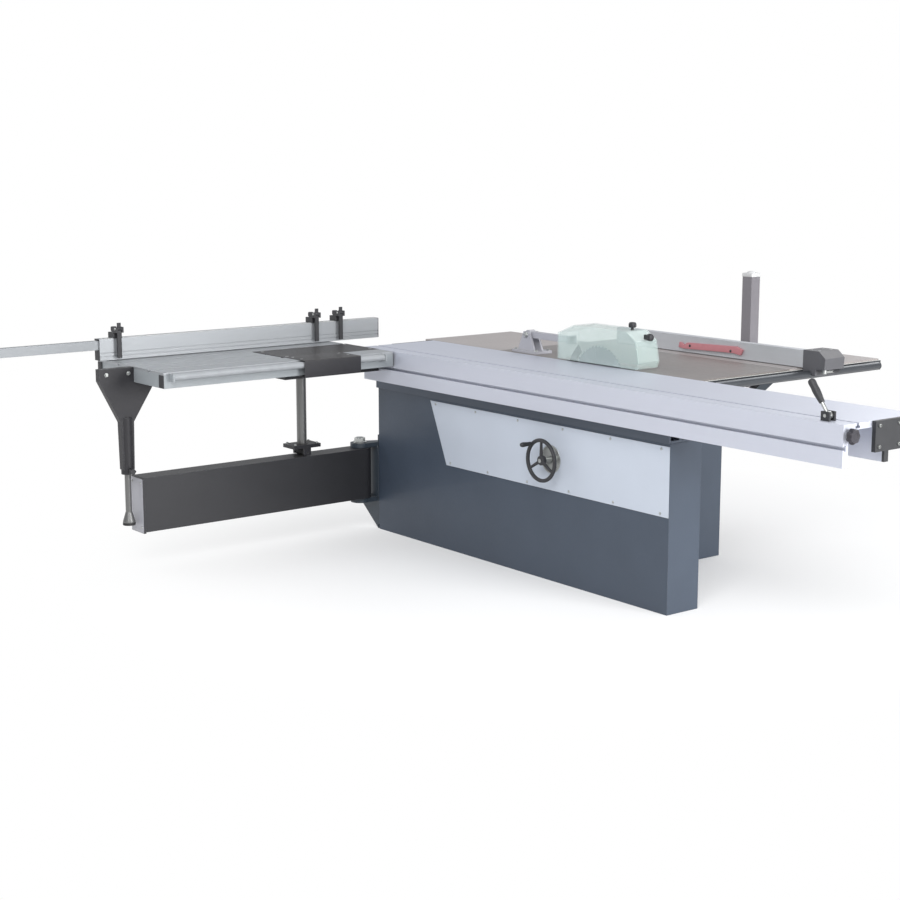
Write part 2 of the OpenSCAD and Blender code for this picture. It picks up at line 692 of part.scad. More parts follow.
// Tilting frame: end plates with pins, window plate, lift rods
module tilt_frame() color([0.33, 0.34, 0.36]) unit() {
  for (x = [-62, 332]) {
    sector(tilt_r - 25, tilt_r + 25, -4, 60, x, x + 10);
    box(x, x + 10, 20, 90, -330, -60);
  }
  for (a = [5, 50]) {
    pin_at(a, -77, -60);
    pin_at(a, 340, 357);
  }
  difference() {
    box(-52, 332, 20, 32, -330, -60);
    box(bx - 42, bx + 42, 19, 33, -220, -20);
  }
  box(44, 332, 32, 76, -330, -320);
  box(44, 76, 32, 76, -74, -64);
  difference() {
    box(254, 332, 32, 76, -74, -64);
    cyl_z(8 + run_fit, -75, -63, screw_x, 60);
  }
  for (x = [rod_x0, rod_x1]) cyl_z(rod_d / 2, -320, -74, x, 60);
}
module pin_at(a, x_a, x_b) {
  cyl_x(tpr, x_a, x_b, tilt_r * sin(a), -tilt_r * cos(a));
}

// Lift carriage: slide plate, bushings, arbor housing, motor plate
module lift_carriage() color([0.42, 0.43, 0.45]) unit() {
  difference() {
    union() {
      box(42, 324, 36, 46, -190, -80);
      for (x = [rod_x0, rod_x1]) cyl_z(18, -184, -84, x, 60);
      cyl_z(14, -184, -84, screw_x, 60);
      box(screw_x - 9, screw_x + 9, 46, 56, -184, -84);
      cyl_y(32, 14, 118, bx, az);
      for (x = [84, 220]) box(x, x + 26, 46, 150, -190, -150);
      box(60, 270, 150, 160, -360, -150);
      // Seat of the riving knife
      box(-32, bx, 13.5, 19.5, az - 48, az - 25);
      box(-32, 0, 1.2, 13.5, az - 48, az - 22);
    }
    for (x = [rod_x0, rod_x1]) cyl_z(rod_d / 2 + run_fit, -191, -79, x, 60);
    cyl_z(8 + run_fit, -191, -79, screw_x, 60);
    cyl_y(ar + 5, 13, 119, bx, az);
    cyl_y(brg_r, 13, 34, bx, az);
    cyl_y(brg_r, 98, 119, bx, az);
    cyl_y(18, 149, 161, bx, mz);
  }
}
module arbor_bearings() color([0.60, 0.61, 0.63]) unit() {
  for (y = [16, 98]) difference() {
    cyl_y(brg_r, y, y + 18, bx, az);
    cyl_y(ar + run_fit, y - 1, y + 19, bx, az);
  }
}

// Arbor with inner flange, pulley, outer flange and nut
module arbor() color([0.55, 0.56, 0.58]) unit() {
  cyl_y(ar, -30, 150, bx, az);
  cyl_y(40, blade_t / 2, 12, bx, az);
  difference() {
    cyl_y(34, 122, 146, bx, az);
    for (i = [0:3]) translate([bx, 125 + i * 5.4, az]) rotate([-90, 0, 0])
      rotate_extrude() translate([32, 0]) square([4, 2.6]);
  }
  cyl_y(40, -12, -blade_t / 2, bx, az);
  translate([bx, -12, az]) rotate([90, 0, 0]) cylinder(r = 18, h = 12, $fn = 6);
}

// Toothed blade with expansion slots
module saw_blade() color([0.72, 0.73, 0.75]) unit() {
  difference() {
    translate([0, blade_t / 2, 0]) rotate([90, 0, 0]) linear_extrude(height = blade_t)
      translate([bx, az]) polygon([for (i = [0:blade_teeth - 1], k = [0:2])
        let(a = -(i + [0, 0.18, 0.4][k]) * 360 / blade_teeth, r = br - [0, 1, 8][k])
        [r * cos(a), r * sin(a)]]);
    cyl_y(ar, -5, 5, bx, az);
    for (i = [0:5]) translate([bx, 0, az]) rotate([0, i * 60 + 20, 0])
      translate([br - 45, -5, -1.2]) cube([60, 10, 2.4]);
  }
}

module main_motor() color([0.30, 0.36, 0.44]) unit() {
  difference() {
    union() {
      cyl_y(motor_d / 2 - 6, 160, 330, bx, mz);
      for (i = [0:8]) cyl_y(motor_d / 2, 172 + i * 12, 177 + i * 12, bx, mz);
      cyl_y(motor_d / 2, 284, 330, bx, mz);
      cyl_y(motor_d / 2 - 2, 160, 167, bx, mz);
      box(bx + 40, bx + 100, 190, 260, mz - 35, mz + 35);
    }
    cyl_y(11 + run_fit, 159, 201, bx, mz);
    for (i = [0:7]) translate([bx, 326, mz]) rotate([0, i * 45, 0])
      box(18, 60, 0, 10, -4, 4);
  }
}
module motor_pulley() color([0.50, 0.51, 0.53]) unit() {
  cyl_y(11, 118, 198, bx, mz);
  difference() {
    cyl_y(45, 122, 146, bx, mz);
    for (i = [0:3]) translate([bx, 125 + i * 5.4, mz]) rotate([-90, 0, 0])
      rotate_extrude() translate([43, 0]) square([4, 2.6]);
  }
}
module drive_belt() color([0.10, 0.10, 0.10]) unit() {
  along_y(123, 145) difference() {
    hull() {
      translate([bx, az]) circle(r = 39.4);
      translate([bx, mz]) circle(r = 50.4);
    }
    hull() {
      translate([bx, az]) circle(r = 34.4);
      translate([bx, mz]) circle(r = 45.4);
    }
  }
}

// Crescent behind the blade
module riving_knife() color([0.66, 0.67, 0.69]) unit() {
  translate([0, 1.2, 0]) rotate([90, 0, 0]) linear_extrude(height = 2.4) intersection() {
    difference() {
      translate([bx, az]) circle(r = br + 40);
      translate([bx, az]) circle(r = br + 5);
    }
    polygon([[-60, az - 52], [12, az - 52], [bx - 40, az + 20], [40, 70], [10, 74], [-60, 40]]);
  }
}

module lift_screw() color([0.58, 0.59, 0.61]) unit() {
  difference() {
    cyl_z(8, -319.5, -64, screw_x, 60);
    for (i = [0:23]) translate([screw_x, 60, -316 + i * 10])
      rotate_extrude() translate([7.2, 0]) square([2, 3]);
  }
  cyl_z(15, -64, -52, screw_x, 60);
}

// Handwheel about +z, shaft down, handle up
module handwheel(shaft) {
  rotate_extrude() translate([wr, 0]) circle(r = 8, $fn = 24);
  for (a = [90, 210, 330]) rotate([0, 0, a]) rotate([0, 90, 0]) cylinder(r = 6, h = wr - 2);
  translate([0, 0, -14]) cylinder(r = 20, h = 24);
  translate([0, 0, -shaft]) cylinder(r = wsr, h = shaft - 10);
  rotate([0, 0, 130]) translate([wr, 0, 0]) {
    cylinder(r = 4, h = 20);
    translate([0, 0, 10]) cylinder(r = 10, h = 46);
    translate([0, 0, 56]) sphere(r = 10);
  }
}
module lift_wheel() color([0.13, 0.13, 0.14])
  translate([wx, yf - 56, wz]) rotate([90, 0, 0]) handwheel(84);
module tilt_wheel() color([0.13, 0.13, 0.14])
  translate([cx1 + 56, twy, twz]) rotate([0, 90, 0]) handwheel(78);

// Switch box on the operator end of the cabinet
module control_box() color([0.32, 0.33, 0.35]) {
  difference() {
    box(cx1, cx1 + 40, 200, 330, cab_h - 145, cab_h - 15);
    cyl_x(11 + slide_gap, cx1 + 20, cx1 + 41, 235, cab_h - 65);
    cyl_x(9 + slide_gap, cx1 + 20, cx1 + 41, 292, cab_h - 65);
    box(cx1 + 39, cx1 + 41, 212, 318, cab_h - 129, cab_h - 105);
  }
}
module start_button() color([0.10, 0.45, 0.18])
  cyl_x(11, cx1 + 20 + press_travel + 0.5, cx1 + 46, 235, cab_h - 65);
module stop_button() color([0.65, 0.08, 0.07]) {
  cyl_x(9, cx1 + 20 + press_travel + 0.5, cx1 + 48, 292, cab_h - 65);
  cyl_x(20, cx1 + 40.5 + press_travel, cx1 + 56, 292, cab_h - 65);
}

base_housing();
front_panel();
service_door();
arm_bracket();
guide_beam();
cast_table();
throat_insert();
side_table();
outfeed_table();
table_struts();
guide_bar();
column();
column_cap();
guard_stand();
tilt_quadrants();
control_box();
start_button();
stop_button();
carriage();
carriage_caps();
carriage_lever();
end_knob();
shuttle();
crosscut_frame();
crosscut_slats();
edge_roller();
frame_clamp();
crosscut_fence();
fence_extension();
stop_carriers();
flip_stop_a();
flip_stop_b();
flip_stop_c();
table_post();
trolley();
trolley_roller();
outer_leg();
leg_stem();
swing_arm();
tilt_frame();
lift_carriage();
arbor();
saw_blade();
arbor_bearings();
main_motor();
motor_pulley();
drive_belt();
riving_knife();
lift_screw();
lift_wheel();
tilt_wheel();
rip_carrier();
rip_profile();
rip_lever();
push_stick();
guard_arm();
guard_hood();
guard_knob();
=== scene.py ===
"""Looks of a sliding table saw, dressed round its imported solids.

Metres, in the frame of the solids: X along the slide with +X at the operator
end, +Y on the rip side, Z up, and the origin on the floor under the base.
"""

from __future__ import annotations

import json
import logging
import math
from dataclasses import dataclass, field
from enum import Enum
from typing import Any, Iterable, Sequence

import bmesh
import bpy
from mathutils import Matrix, Vector

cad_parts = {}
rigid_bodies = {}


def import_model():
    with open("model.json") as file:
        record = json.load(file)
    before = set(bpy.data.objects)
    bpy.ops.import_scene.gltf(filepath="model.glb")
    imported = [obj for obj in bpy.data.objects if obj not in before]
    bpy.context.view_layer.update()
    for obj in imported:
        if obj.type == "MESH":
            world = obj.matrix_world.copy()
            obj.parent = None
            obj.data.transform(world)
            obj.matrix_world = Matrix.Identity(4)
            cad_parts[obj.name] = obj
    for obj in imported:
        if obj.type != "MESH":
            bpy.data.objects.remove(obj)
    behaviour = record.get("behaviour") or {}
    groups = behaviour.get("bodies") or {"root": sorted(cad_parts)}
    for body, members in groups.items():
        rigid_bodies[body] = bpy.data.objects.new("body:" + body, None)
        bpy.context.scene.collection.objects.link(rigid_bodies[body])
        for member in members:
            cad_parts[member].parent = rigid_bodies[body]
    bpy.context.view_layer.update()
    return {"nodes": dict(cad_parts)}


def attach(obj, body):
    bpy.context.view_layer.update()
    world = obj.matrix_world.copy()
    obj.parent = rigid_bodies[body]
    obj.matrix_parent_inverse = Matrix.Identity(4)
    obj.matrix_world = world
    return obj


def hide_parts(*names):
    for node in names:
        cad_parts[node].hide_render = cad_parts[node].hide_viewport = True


LOG = logging.getLogger("table_saw")
SMOOTH_ANGLE = math.radians(35)
FULL_TURN = 2 * math.pi
POINT_RADIUS = 1e-7  # a ring below it is a single point
WELD = 1e-6  # vertices nearer than this are one
EASE_SHARE = 0.45  # most of a block's least side that an eased edge takes
EASE_ROUND = 0.7  # how full an eased edge is
LOBE_SIDES = 8  # faces round one lobe of a knob
EDGE_SAMPLES = 4  # rays of the eased normal
TOP_TONE = 0.95  # lightest tone of a finish
WHITE = (1, 1, 1, 1)
ORIGIN = (0, 0, 0)
OUT_X, OUT_Y, UP = Vector((1, 0, 0)), Vector((0, 1, 0)), Vector((0, 0, 1))

Point = Sequence[float]
Profile = Sequence[Sequence[float]]
Spots = list[tuple[Point, Point]]
Color = tuple[float, float, float, float]
Ring = list[bmesh.types.BMVert]


def srgb(code: str) -> Color:
    """Turns a screen colour into scene-linear values.

    Args:
        code: six hex digits.

    Returns:
        The colour, with an alpha of one.
    """
    parts = [int(code[i : i + 2], 16) / 255 for i in (0, 2, 4)]
    lin = [p / 12.92 if p <= 0.04045 else ((p + 0.055) / 1.055) ** 2.4 for p in parts]
    return (lin[0], lin[1], lin[2], 1.0)


def shade(color: Color, factor: float, lift: float = 0.0) -> Color:
    """A colour made lighter or darker, below full white."""
    r, g, b = (min(TOP_TONE, c * factor + lift) for c in color[:3])
    return (r, g, b, 1.0)


def link(name: str, data: Any) -> bpy.types.Object:
    """Puts a new object in the scene.

    Args:
        name: the object's name.
        data: its mesh, lamp or camera.

    Returns:
        The object.
    """
    made = bpy.data.objects.new(name, data)
    bpy.context.scene.collection.objects.link(made)
    return made


def stand(start: Point, axis: Vector) -> Matrix:
    """From a form's own axes, with Z up, to a place and a direction."""
    turn = axis.normalized().to_track_quat("Z", "Y").to_matrix().to_4x4()
    return Matrix.Translation(Vector(start)) @ turn


class Axis(Enum):
    """A direction of the frame."""

    X = 0
    Y = 1
    Z = 2


class Sock:
    """A node's output that takes part in Python arithmetic."""

    def __init__(self, tree: Tree, socket: bpy.types.NodeSocket | None) -> None:
        """Keeps the tree and the output."""
        self.tree, self.socket = tree, socket

    def __add__(self, other: Any) -> Sock:
        """Sum."""
        return self.tree.math("ADD", self, other)

    def __sub__(self, other: Any) -> Sock:
        """Difference."""
        return self.tree.math("SUBTRACT", self, other)

    def __rsub__(self, other: Any) -> Sock:
        """Difference, the other way round."""
        return self.tree.math("SUBTRACT", other, self)

    def __mul__(self, other: Any) -> Sock:
        """Product."""
        return self.tree.math("MULTIPLY", self, other)

    def unit(self) -> Sock:
        """The value held between zero and one."""
        return self.tree.math("ADD", self, 0.0, True)


class Tree:
    """A node tree while it is being written."""

    def __init__(self, tree: bpy.types.NodeTree) -> None:
        """Keeps the tree, emptied."""
        self.tree = tree
        tree.nodes.clear()

    def node(self, kind: str, settings: dict[str, Any], inputs: dict[Any, Any],
             out: Any = 0) -> Sock:
        """Adds any node.

        Args:
            kind: the node's type, with ShaderNode left out.
            settings: attributes, set first.
            inputs: values or links by socket name or number.
            out: name or number of the output that is handed back.

        Returns:
            The wrapped output.
        """
        made = self.tree.nodes.new(kind if "Node" in kind else "ShaderNode" + kind)
        for key, value in settings.items():
            setattr(made, key, value)
        for key, value in inputs.items():
            if isinstance(value, Sock):
                self.tree.links.new(value.socket, made.inputs[key])
            else:
                made.inputs[key].default_value = value
        return Sock(self, made.outputs[out] if made.outputs else None)

    def math(self, operation: str, a: Any, b: Any, clamp: bool = False) -> Sock:
        """Adds one Math node."""
        settings = {"operation": operation, "use_clamp": clamp}
        return self.node("Math", settings, {0: a, 1: b})


class Graph(Tree):
    """The node tree of a new material."""

    def __init__(self, name: str) -> None:
        """Opens an empty material.

        Args:
            name: the material's name.
        """
        self.material = bpy.data.materials.new(name)
        self.material.use_nodes = True
        super().__init__(self.material.node_tree)

    def noise(self, scale: float, stretch: Point = (1, 1, 1), detail: float = 3.0) -> Sock:
        """Adds even noise about one half.

        Args:
            scale: waves to the metre.
            stretch: factor along each axis.
            detail: octaves.

        Returns:
            The noise.
        """
        where = self.node("TexCoord", {}, {}, "Object")
        place = self.node("Mapping", {}, {"Vector": where, "Scale": stretch})
        inputs = {"Vector": place, "Scale": scale, "Detail": detail}
        return self.node("TexNoise", {}, inputs, "Fac")

    def mix(self, share: Sock, a: Any, b: Any) -> Sock:
        """Mixes two colours."""
        return self.node("Mix", {"data_type": "RGBA"}, {0: share, 6: a, 7: b}, 2)

    def rounded(self, radius: float) -> Sock:
        """Normal with the edges eased by that radius."""
        return self.node("Bevel", {"samples": EDGE_SAMPLES}, {"Radius": radius})

    def edges(self, eased: Sock, gain: float) -> Sock:
        """Mask of the edges, from the eased normal and the true one.

        Args:
            eased: normal with its edges eased.
            gain: strength of the mask.

        Returns:
            One on the edges, zero elsewhere.
        """
        true = self.node("NewGeometry", {}, {}, "Normal")
        dot = {"operation": "DOT_PRODUCT"}
        same = self.node("VectorMath", dot, {0: eased, 1: true}, "Value")
        return ((1.0 - same) * gain).unit()

    def upward(self) -> Sock:
        """One on faces that look up, zero on the others."""
        true = self.node("NewGeometry", {}, {}, "Normal")
        return self.node("SeparateXYZ", {}, {0: true}, "Z").unit()

    def bump(self, height: Sock, depth: float, under: Sock) -> Sock:
        """Normal of a relief of that depth in metres."""
        inputs = {"Height": height, "Distance": depth, "Strength": 1.0, "Normal": under}
        return self.node("Bump", {}, inputs)

    def finish(self, **sockets: Any) -> bpy.types.Material:
        """Ends the graph in one shader.

        Args:
            sockets: values or links, with _ for the space in a socket's name.

        Returns:
            The material.
        """
        inputs = {key.replace("_", " "): value for key, value in sockets.items()}
        return self.end(self.node("BsdfPrincipled", {}, inputs))

    def end(self, shader: Sock) -> bpy.types.Material:
        """Links a shader to the surface."""
        self.node("OutputMaterial", {}, {"Surface": shader})
        return self.material


MADE: dict[str, bpy.types.Material] = {}


@dataclass(frozen=True)
class Finish:
    """What every finish has: a name, a screen colour and the record's slot."""

    name: str
    code: str
    slot: str = field(default="", kw_only=True)

    @property
    def color(self) -> Color:
        """The colour in scene-linear values."""
        return srgb(self.code)

    def material(self) -> bpy.types.Material:
        """Writes the nodes; each finish has its own."""
        raise NotImplementedError

    def get(self) -> bpy.types.Material:
        """The material, written at its first use."""
        return MADE.get(self.name) or MADE.setdefault(self.name, self.material())


@dataclass(frozen=True)
class Paint(Finish):
    """Sprayed or powder-coated sheet steel, rubbed at its edges."""

    rough: float = 0.46
    mottle: float = 0.10
    wear: float = 0.35
    bare_code: str = "8d9196"
    dust: float = 0.10
    peel: float = 0.00012
    ease: float = 0.0025
    dust_code: str = "b9b2a6"

    def material(self) -> bpy.types.Material:
        """Writes the paint's nodes.

        Returns:
            The material.
        """
        g = Graph(self.name)
        eased = g.rounded(self.ease)
        cloud = g.noise(5.0, detail=5.0)
        tone = g.mix((cloud * 1.4 - 0.2).unit(), shade(self.color, 1 - self.mottle),
                     shade(self.color, 1 + self.mottle))
        settled = (g.upward() * g.noise(22.0, detail=6.0) * self.dust).unit()
        dusty = g.mix(settled, tone, srgb(self.dust_code))
        rub = (g.edges(eased, 5.0) * (g.noise(60.0) * 2.2 - 0.55).unit() * self.wear).unit()
        rough = (g.noise(90.0) * 0.16 + (self.rough - 0.08) + settled * 0.3).unit()
        grain = g.noise(520.0, detail=2.0)
        return g.finish(Base_Color=g.mix(rub, dusty, srgb(self.bare_code)), Roughness=rough,
                        Metallic=rub * 0.6, Normal=g.bump(grain, self.peel, eased),
                        Coat_Weight=0.08)


@dataclass(frozen=True)
class Metal(Finish):
    """Drawn, ground or turned metal with its streaks along one axis."""

    along: Axis = Axis.X
    rough: float = 0.38
    metallic: float = 0.7
    streak: float = 0.10
    stain: float = 0.06
    groove: float = 0.00005
    fine: float = 700.0
    pull: float = 0.012
    ease: float = 0.0012

    def material(self) -> bpy.types.Material:
        """Writes the metal's nodes.

        Returns:
            The material.
        """
        g = Graph(self.name)
        eased = g.rounded(self.ease)
        stretch = [1.0, 1.0, 1.0]
        stretch[self.along.value] = self.pull
        lines = g.noise(self.fine, stretch, 2.0)
        broad = g.noise(self.fine * 0.12, stretch, 3.0)
        patch = g.noise(7.0, detail=6.0)
        level = (lines * 0.5 + broad * 0.5 - 0.5) * (2 * self.streak)
        level = level + (patch - 0.5) * (2 * self.stain)
        tone = g.mix((level * 2.0 + 0.5).unit(), shade(self.color, 0.78), shade(self.color, 1.2))
        bright = g.mix(g.edges(eased, 3.0) * 0.35, tone, shade(self.color, 1.5))
        rough = (level * 1.2 + self.rough + (g.noise(40.0) - 0.5) * 0.1).unit()
        return g.finish(Base_Color=bright, Roughness=rough, Metallic=self.metallic,
                        Normal=g.bump(lines, self.groove, eased))


@dataclass(frozen=True)
class Moulded(Finish):
    """Moulded plastic or rubber with a fine grain."""

    rough: float = 0.52
    grain: float = 0.00012
    scale: float = 850.0
    scuff: float = 0.25
    ease: float = 0.0015
    scuff_code: str = "a9a9a8"

    def material(self) -> bpy.types.Material:
        """Writes the plastic's nodes.

        Returns:
            The material.
        """
        g = Graph(self.name)
        eased = g.rounded(self.ease)
        cloud = (g.noise(30.0, detail=5.0) * 1.6 - 0.45).unit()
        tone = g.mix(cloud * 0.5, self.color, shade(self.color, 1.35, 0.01))
        rub = (g.edges(eased, 3.5) * g.noise(140.0) * self.scuff).unit()
        rough = (g.noise(200.0) * 0.2 + (self.rough - 0.1)).unit()
        relief = g.noise(self.scale, detail=2.0)
        return g.finish(Base_Color=g.mix(rub, tone, srgb(self.scuff_code)), Roughness=rough,
                        Normal=g.bump(relief, self.grain, eased))


@dataclass(frozen=True)
class ClearSheet(Finish):
    """Milky clear plastic of the blade hood, denser at its edges."""

    body: float = 0.27
    ease: float = 0.004
    haze_code: str = "e2eeec"

    def material(self) -> bpy.types.Material:
        """Writes the hood's nodes.

        Returns:
            The material.
        """
        g = Graph(self.name)
        eased = g.rounded(self.ease)
        haze = g.noise(4.0, detail=2.0)
        scratch = (g.noise(260.0, (0.05, 1.0, 1.0), 3.0) * 3.0 - 1.7).unit()
        alpha = g.edges(eased, 4.0) * 0.35 + (haze - 0.5) * 0.10 + scratch * 0.03 + self.body
        tone = g.mix((haze * 1.2 - 0.1).unit(), self.color, srgb(self.haze_code))
        return g.finish(Base_Color=tone, Roughness=(scratch * 0.15 + 0.10).unit(),
                        Alpha=alpha.unit(), Normal=eased, Coat_Weight=0.3)


class Palette:
    """The saw's finishes."""

    SLATE = Paint("slate_paint", "3e4856", slot="slate_paint")
    SLATE_DARK = Paint("slate_dark_paint", "353e47", slot="dark_paint")
    SILVER = Paint("silver_paint", "bcc3ce", rough=0.36, mottle=0.035, wear=0.15)
    DARK = Paint("dark_paint", "222125", rough=0.5, slot="dark_paint")
    CARRIER = Paint("carrier_paint", "535357", rough=0.5)
    ARM = Paint("arm_paint", "2b2b2e", rough=0.48)
    SHEET = Paint("sheet_top_paint", "a19a98", rough=0.4, mottle=0.05)
    COLUMN = Paint("column_paint", "7b787d", rough=0.4)
    MOTOR = Paint("motor_paint", "4a5a6c", rough=0.34)
    BOX = Paint("switch_box_paint", "55595e")
    FRAME = Paint("frame_paint", "92979a", rough=0.42)
    STAND = Paint("stand_paint", "a8a8ae", rough=0.4, slot="grey_steel")
    STEEL = Metal("turned_steel", "8b8d91", Axis.X, rough=0.34, metallic=0.9)
    STEEL_Y = Metal("drawn_steel_y", "7b7d80", Axis.Y, rough=0.34, metallic=0.85)
    STEEL_Z = Metal("drawn_steel_z", "7a7a79", Axis.Z, rough=0.36, metallic=0.75)
    BAR = Metal("blued_bar", "55585c", Axis.Y, rough=0.36, metallic=0.7)
    # The guide beam's grey steel is darkened and tinted blue-grey to stand for the shade in the
    # gap under the carriage: painted shade.
    BEAM = Metal("beam_with_painted_shade", "585f6a", Axis.X, rough=0.42, metallic=0.6)
    BLADE = Metal("ground_blade", "9a9da2", Axis.Z, rough=0.33, metallic=0.9)
    CARBIDE = Metal("carbide", "6f7378", Axis.Z, rough=0.3, metallic=0.9)
    ZINC = Metal("zinc_plate", "b3b5b3", Axis.Z, rough=0.32, metallic=0.85, fine=1400.0,
                 slot="bright_steel")
    CARRIAGE = Metal("anodised_carriage", "c6c9d4", Axis.X, rough=0.42, metallic=0.4,
                     streak=0.06, stain=0.03)
    PROFILE = Metal("anodised_profile", "a1a4a7", Axis.Y, rough=0.4, metallic=0.35,
                    streak=0.06, stain=0.03)
    EXTENSION = Metal("anodised_extension", "8b8e91", Axis.Y, rough=0.4, metallic=0.35,
                      streak=0.06, stain=0.03)
    RIP = Metal("anodised_rip", "c3c5c9", Axis.X, rough=0.4, metallic=0.45)
    IRON = Metal("ground_iron", "88827f", Axis.X, rough=0.4, metallic=0.4, streak=0.12,
                 stain=0.12)
    INSERT = Metal("insert_plate", "8e9194", Axis.X, rough=0.36, metallic=0.6)
    BLACK = Moulded("black_plastic", "2b2b2e", slot="black_plastic")
    GREY = Moulded("grey_plastic", "2b2930", slot="black_plastic")
    ROLLER = Moulded("roller_sleeve", "94979a", rough=0.45)
    END = Moulded("end_plate_plastic", "27282b", rough=0.5)
    CAP = Moulded("cap_plastic", "c6c6c6", rough=0.45, slot="cap_plastic")
    RED = Moulded("dusty_red_plastic", "b4767c", rough=0.55, slot="red_plastic")
    STOP = Moulded("stop_plastic", "a8262a", rough=0.32)
    START = Moulded("start_plastic", "2f8f4e", rough=0.32)
    RUBBER = Moulded("rubber", "242424", rough=0.7, scale=420.0, slot="belt_rubber")
    MARK = Moulded("scale_marks", "35383c", rough=0.6)
    TAPE = Moulded("scale_tape", "dadbd6", rough=0.4, grain=0.00003, slot="light_alu")
    HOOD = ClearSheet("clear_hood", "c3dbd3")


class Mesh:
    """A mesh in the making, with its place in its vertices."""

    def __init__(self) -> None:
        """Starts empty."""
        self.bm = bmesh.new()

    def box(self, low: Point, high: Point, ease: float = 0.0015, steps: int = 2) -> Mesh:
        """Adds a block with eased edges.

        Args:
            low: its lowest corner.
            high: its highest corner.
            ease: width of the eased edges.
            steps: faces across an eased edge.

        Returns:
            The mesh itself.
        """
        size = Vector(high) - Vector(low)
        middle = (Vector(high) + Vector(low)) / 2
        place = Matrix.Translation(middle) @ Matrix.Diagonal((*size, 1.0))
        made = bmesh.ops.create_cube(self.bm, size=1.0, matrix=place)
        self._ease(made["verts"], min(ease, min(size) * EASE_SHARE), steps)
        return self

    def _ease(self, verts: Ring, ease: float, steps: int = 2) -> None:
        """Bevels the edges of what was just added.

        Args:
            verts: the new vertices.
            ease: width of the eased edges.
            steps: faces across an eased edge.
        """
        if ease > 0:
            edges = {e for v in verts for e in v.link_edges}
            bmesh.ops.bevel(self.bm, geom=list(edges), offset=ease, segments=steps,
                            profile=EASE_ROUND, affect="EDGES", clamp_overlap=True)

    def lathe(self, profile: Profile, start: Point, axis: Vector, sides: int = 40,
              bored: bool = False, lobes: int = 0) -> Mesh:
        """Adds a turned form.

        Args:
            profile: radius and height at each ring, and the lobes' depth as a share
                if it has lobes; a radius of zero closes an end.
            start: where height is zero.
            axis: direction of the height.
            sides: faces round the form.
            bored: whether the last ring joins the first, round a bore.
            lobes: number of finger lobes.

        Returns:
            The mesh itself.
        """
        place = stand(start, axis)
        rings: list[Ring] = []
        for radius, height, *depth in profile:
            ring = []
            for i in range(sides if radius > POINT_RADIUS else 1):
                a = FULL_TURN * i / sides
                r = radius * (1.0 - sum(depth) * (0.5 - 0.5 * math.cos(lobes * a)))
                point = (r * math.cos(a), r * math.sin(a), height)
                ring.append(self.bm.verts.new(place @ Vector(point)))
            rings.append(ring)
        for low, high in zip(rings, rings[1:] + (rings[:1] if bored else [])):
            self._band(low, high, sides)
        for ring in (rings[0][::-1], rings[-1]):
            if len(ring) > 1 and not bored:
                self.bm.faces.new(ring)
        return self

    def _band(self, low: Ring, high: Ring, sides: int) -> None:
        """Joins two rings of a turned form.

        Args:
            low: first ring, or a single point.
            high: second ring, or a single point.
            sides: faces round the form.
        """
        for i in range(sides if len(low) + len(high) > 2 else 0):
            k = (i + 1) % sides
            if len(low) == 1:
                self.bm.faces.new((high[i], high[k], low[0]))
            elif len(high) == 1:
                self.bm.faces.new((low[i], low[k], high[0]))
            else:
                self.bm.faces.new((low[i], low[k], high[k], high[i]))

    def washer(self, inner: float, outer: float, start: Point, axis: Vector, thick: float,
               sides: int = 40) -> Mesh:
        """Adds a flat ring with its outer edge eased.

        Args:
            inner: radius of the bore.
            outer: outer radius.
            start: middle of the first face.
            axis: direction of the thickness.
            thick: thickness.
            sides: faces round the form.

        Returns:
            The mesh itself.
        """
        ease = min(0.0008, thick * 0.3)
        profile = [(inner, 0.0), (outer, 0.0), (outer, thick - ease), (outer - ease, thick),
                   (inner, thick)]
        return self.lathe(profile, start, axis, sides, bored=True)

    def knob(self, start: Point, axis: Vector, lobes: int, profile: Profile) -> Mesh:
        """Adds a knob with finger lobes."""
        return self.lathe(profile, start, axis, lobes * LOBE_SIDES, lobes=lobes)

    def move(self, place: Matrix) -> Mesh:
        """Carries everything made so far to a place."""
        bmesh.ops.transform(self.bm, matrix=place, verts=self.bm.verts)
        return self

    def ring(self, middle: Point, axis: Vector, radius: float, thick: float, sides: int,
             round_sides: int) -> Mesh:
        """Adds a closed round ring.

        Args:
            middle: its middle.
            axis: direction across it.
            radius: from the middle to the middle of the round.
            thick: radius of the round.
            sides: faces along the ring.
            round_sides: faces round it.

        Returns:
            The mesh itself.
        """
        place = stand(middle, axis)
        loops = []
        for i in range(sides):
            a = FULL_TURN * i / sides
            loop = []
            for j in range(round_sides):
                b = FULL_TURN * j / round_sides
                r = radius + thick * math.cos(b)
                point = (r * math.cos(a), r * math.sin(a), thick * math.sin(b))
                loop.append(self.bm.verts.new(place @ Vector(point)))
            loops.append(loop)
        for i in range(sides):
            for j in range(round_sides):
                p, q = (i + 1) % sides, (j + 1) % round_sides
                self.bm.faces.new((loops[i][j], loops[p][j], loops[p][q], loops[i][q]))
        return self

    def prism(self, outline: Profile, axis: Axis, low: float, high: float, ease: float) -> Mesh:
        """Adds a flat outline drawn out along an axis.

        Args:
            outline: points in the other two axes, in their order.
            axis: direction that it is drawn out along.
            low: first end.
            high: second end.
            ease: width of the eased edges.

        Returns:
            The mesh itself.
        """
        ends: list[Ring] = []
        for level in (low, high):
            points = [list(p) for p in outline]
            for point in points:
                point.insert(axis.value, level)
            ends.append([self.bm.verts.new(p) for p in points])
        faces = [self.bm.faces.new(end) for end in ends]
        for i in range(len(outline)):
            k = (i + 1) % len(outline)
            faces.append(self.bm.faces.new((ends[0][i], ends[0][k], ends[1][k], ends[1][i])))
        bmesh.ops.recalc_face_normals(self.bm, faces=faces)
        self._ease(ends[0] + ends[1], ease)
        return self

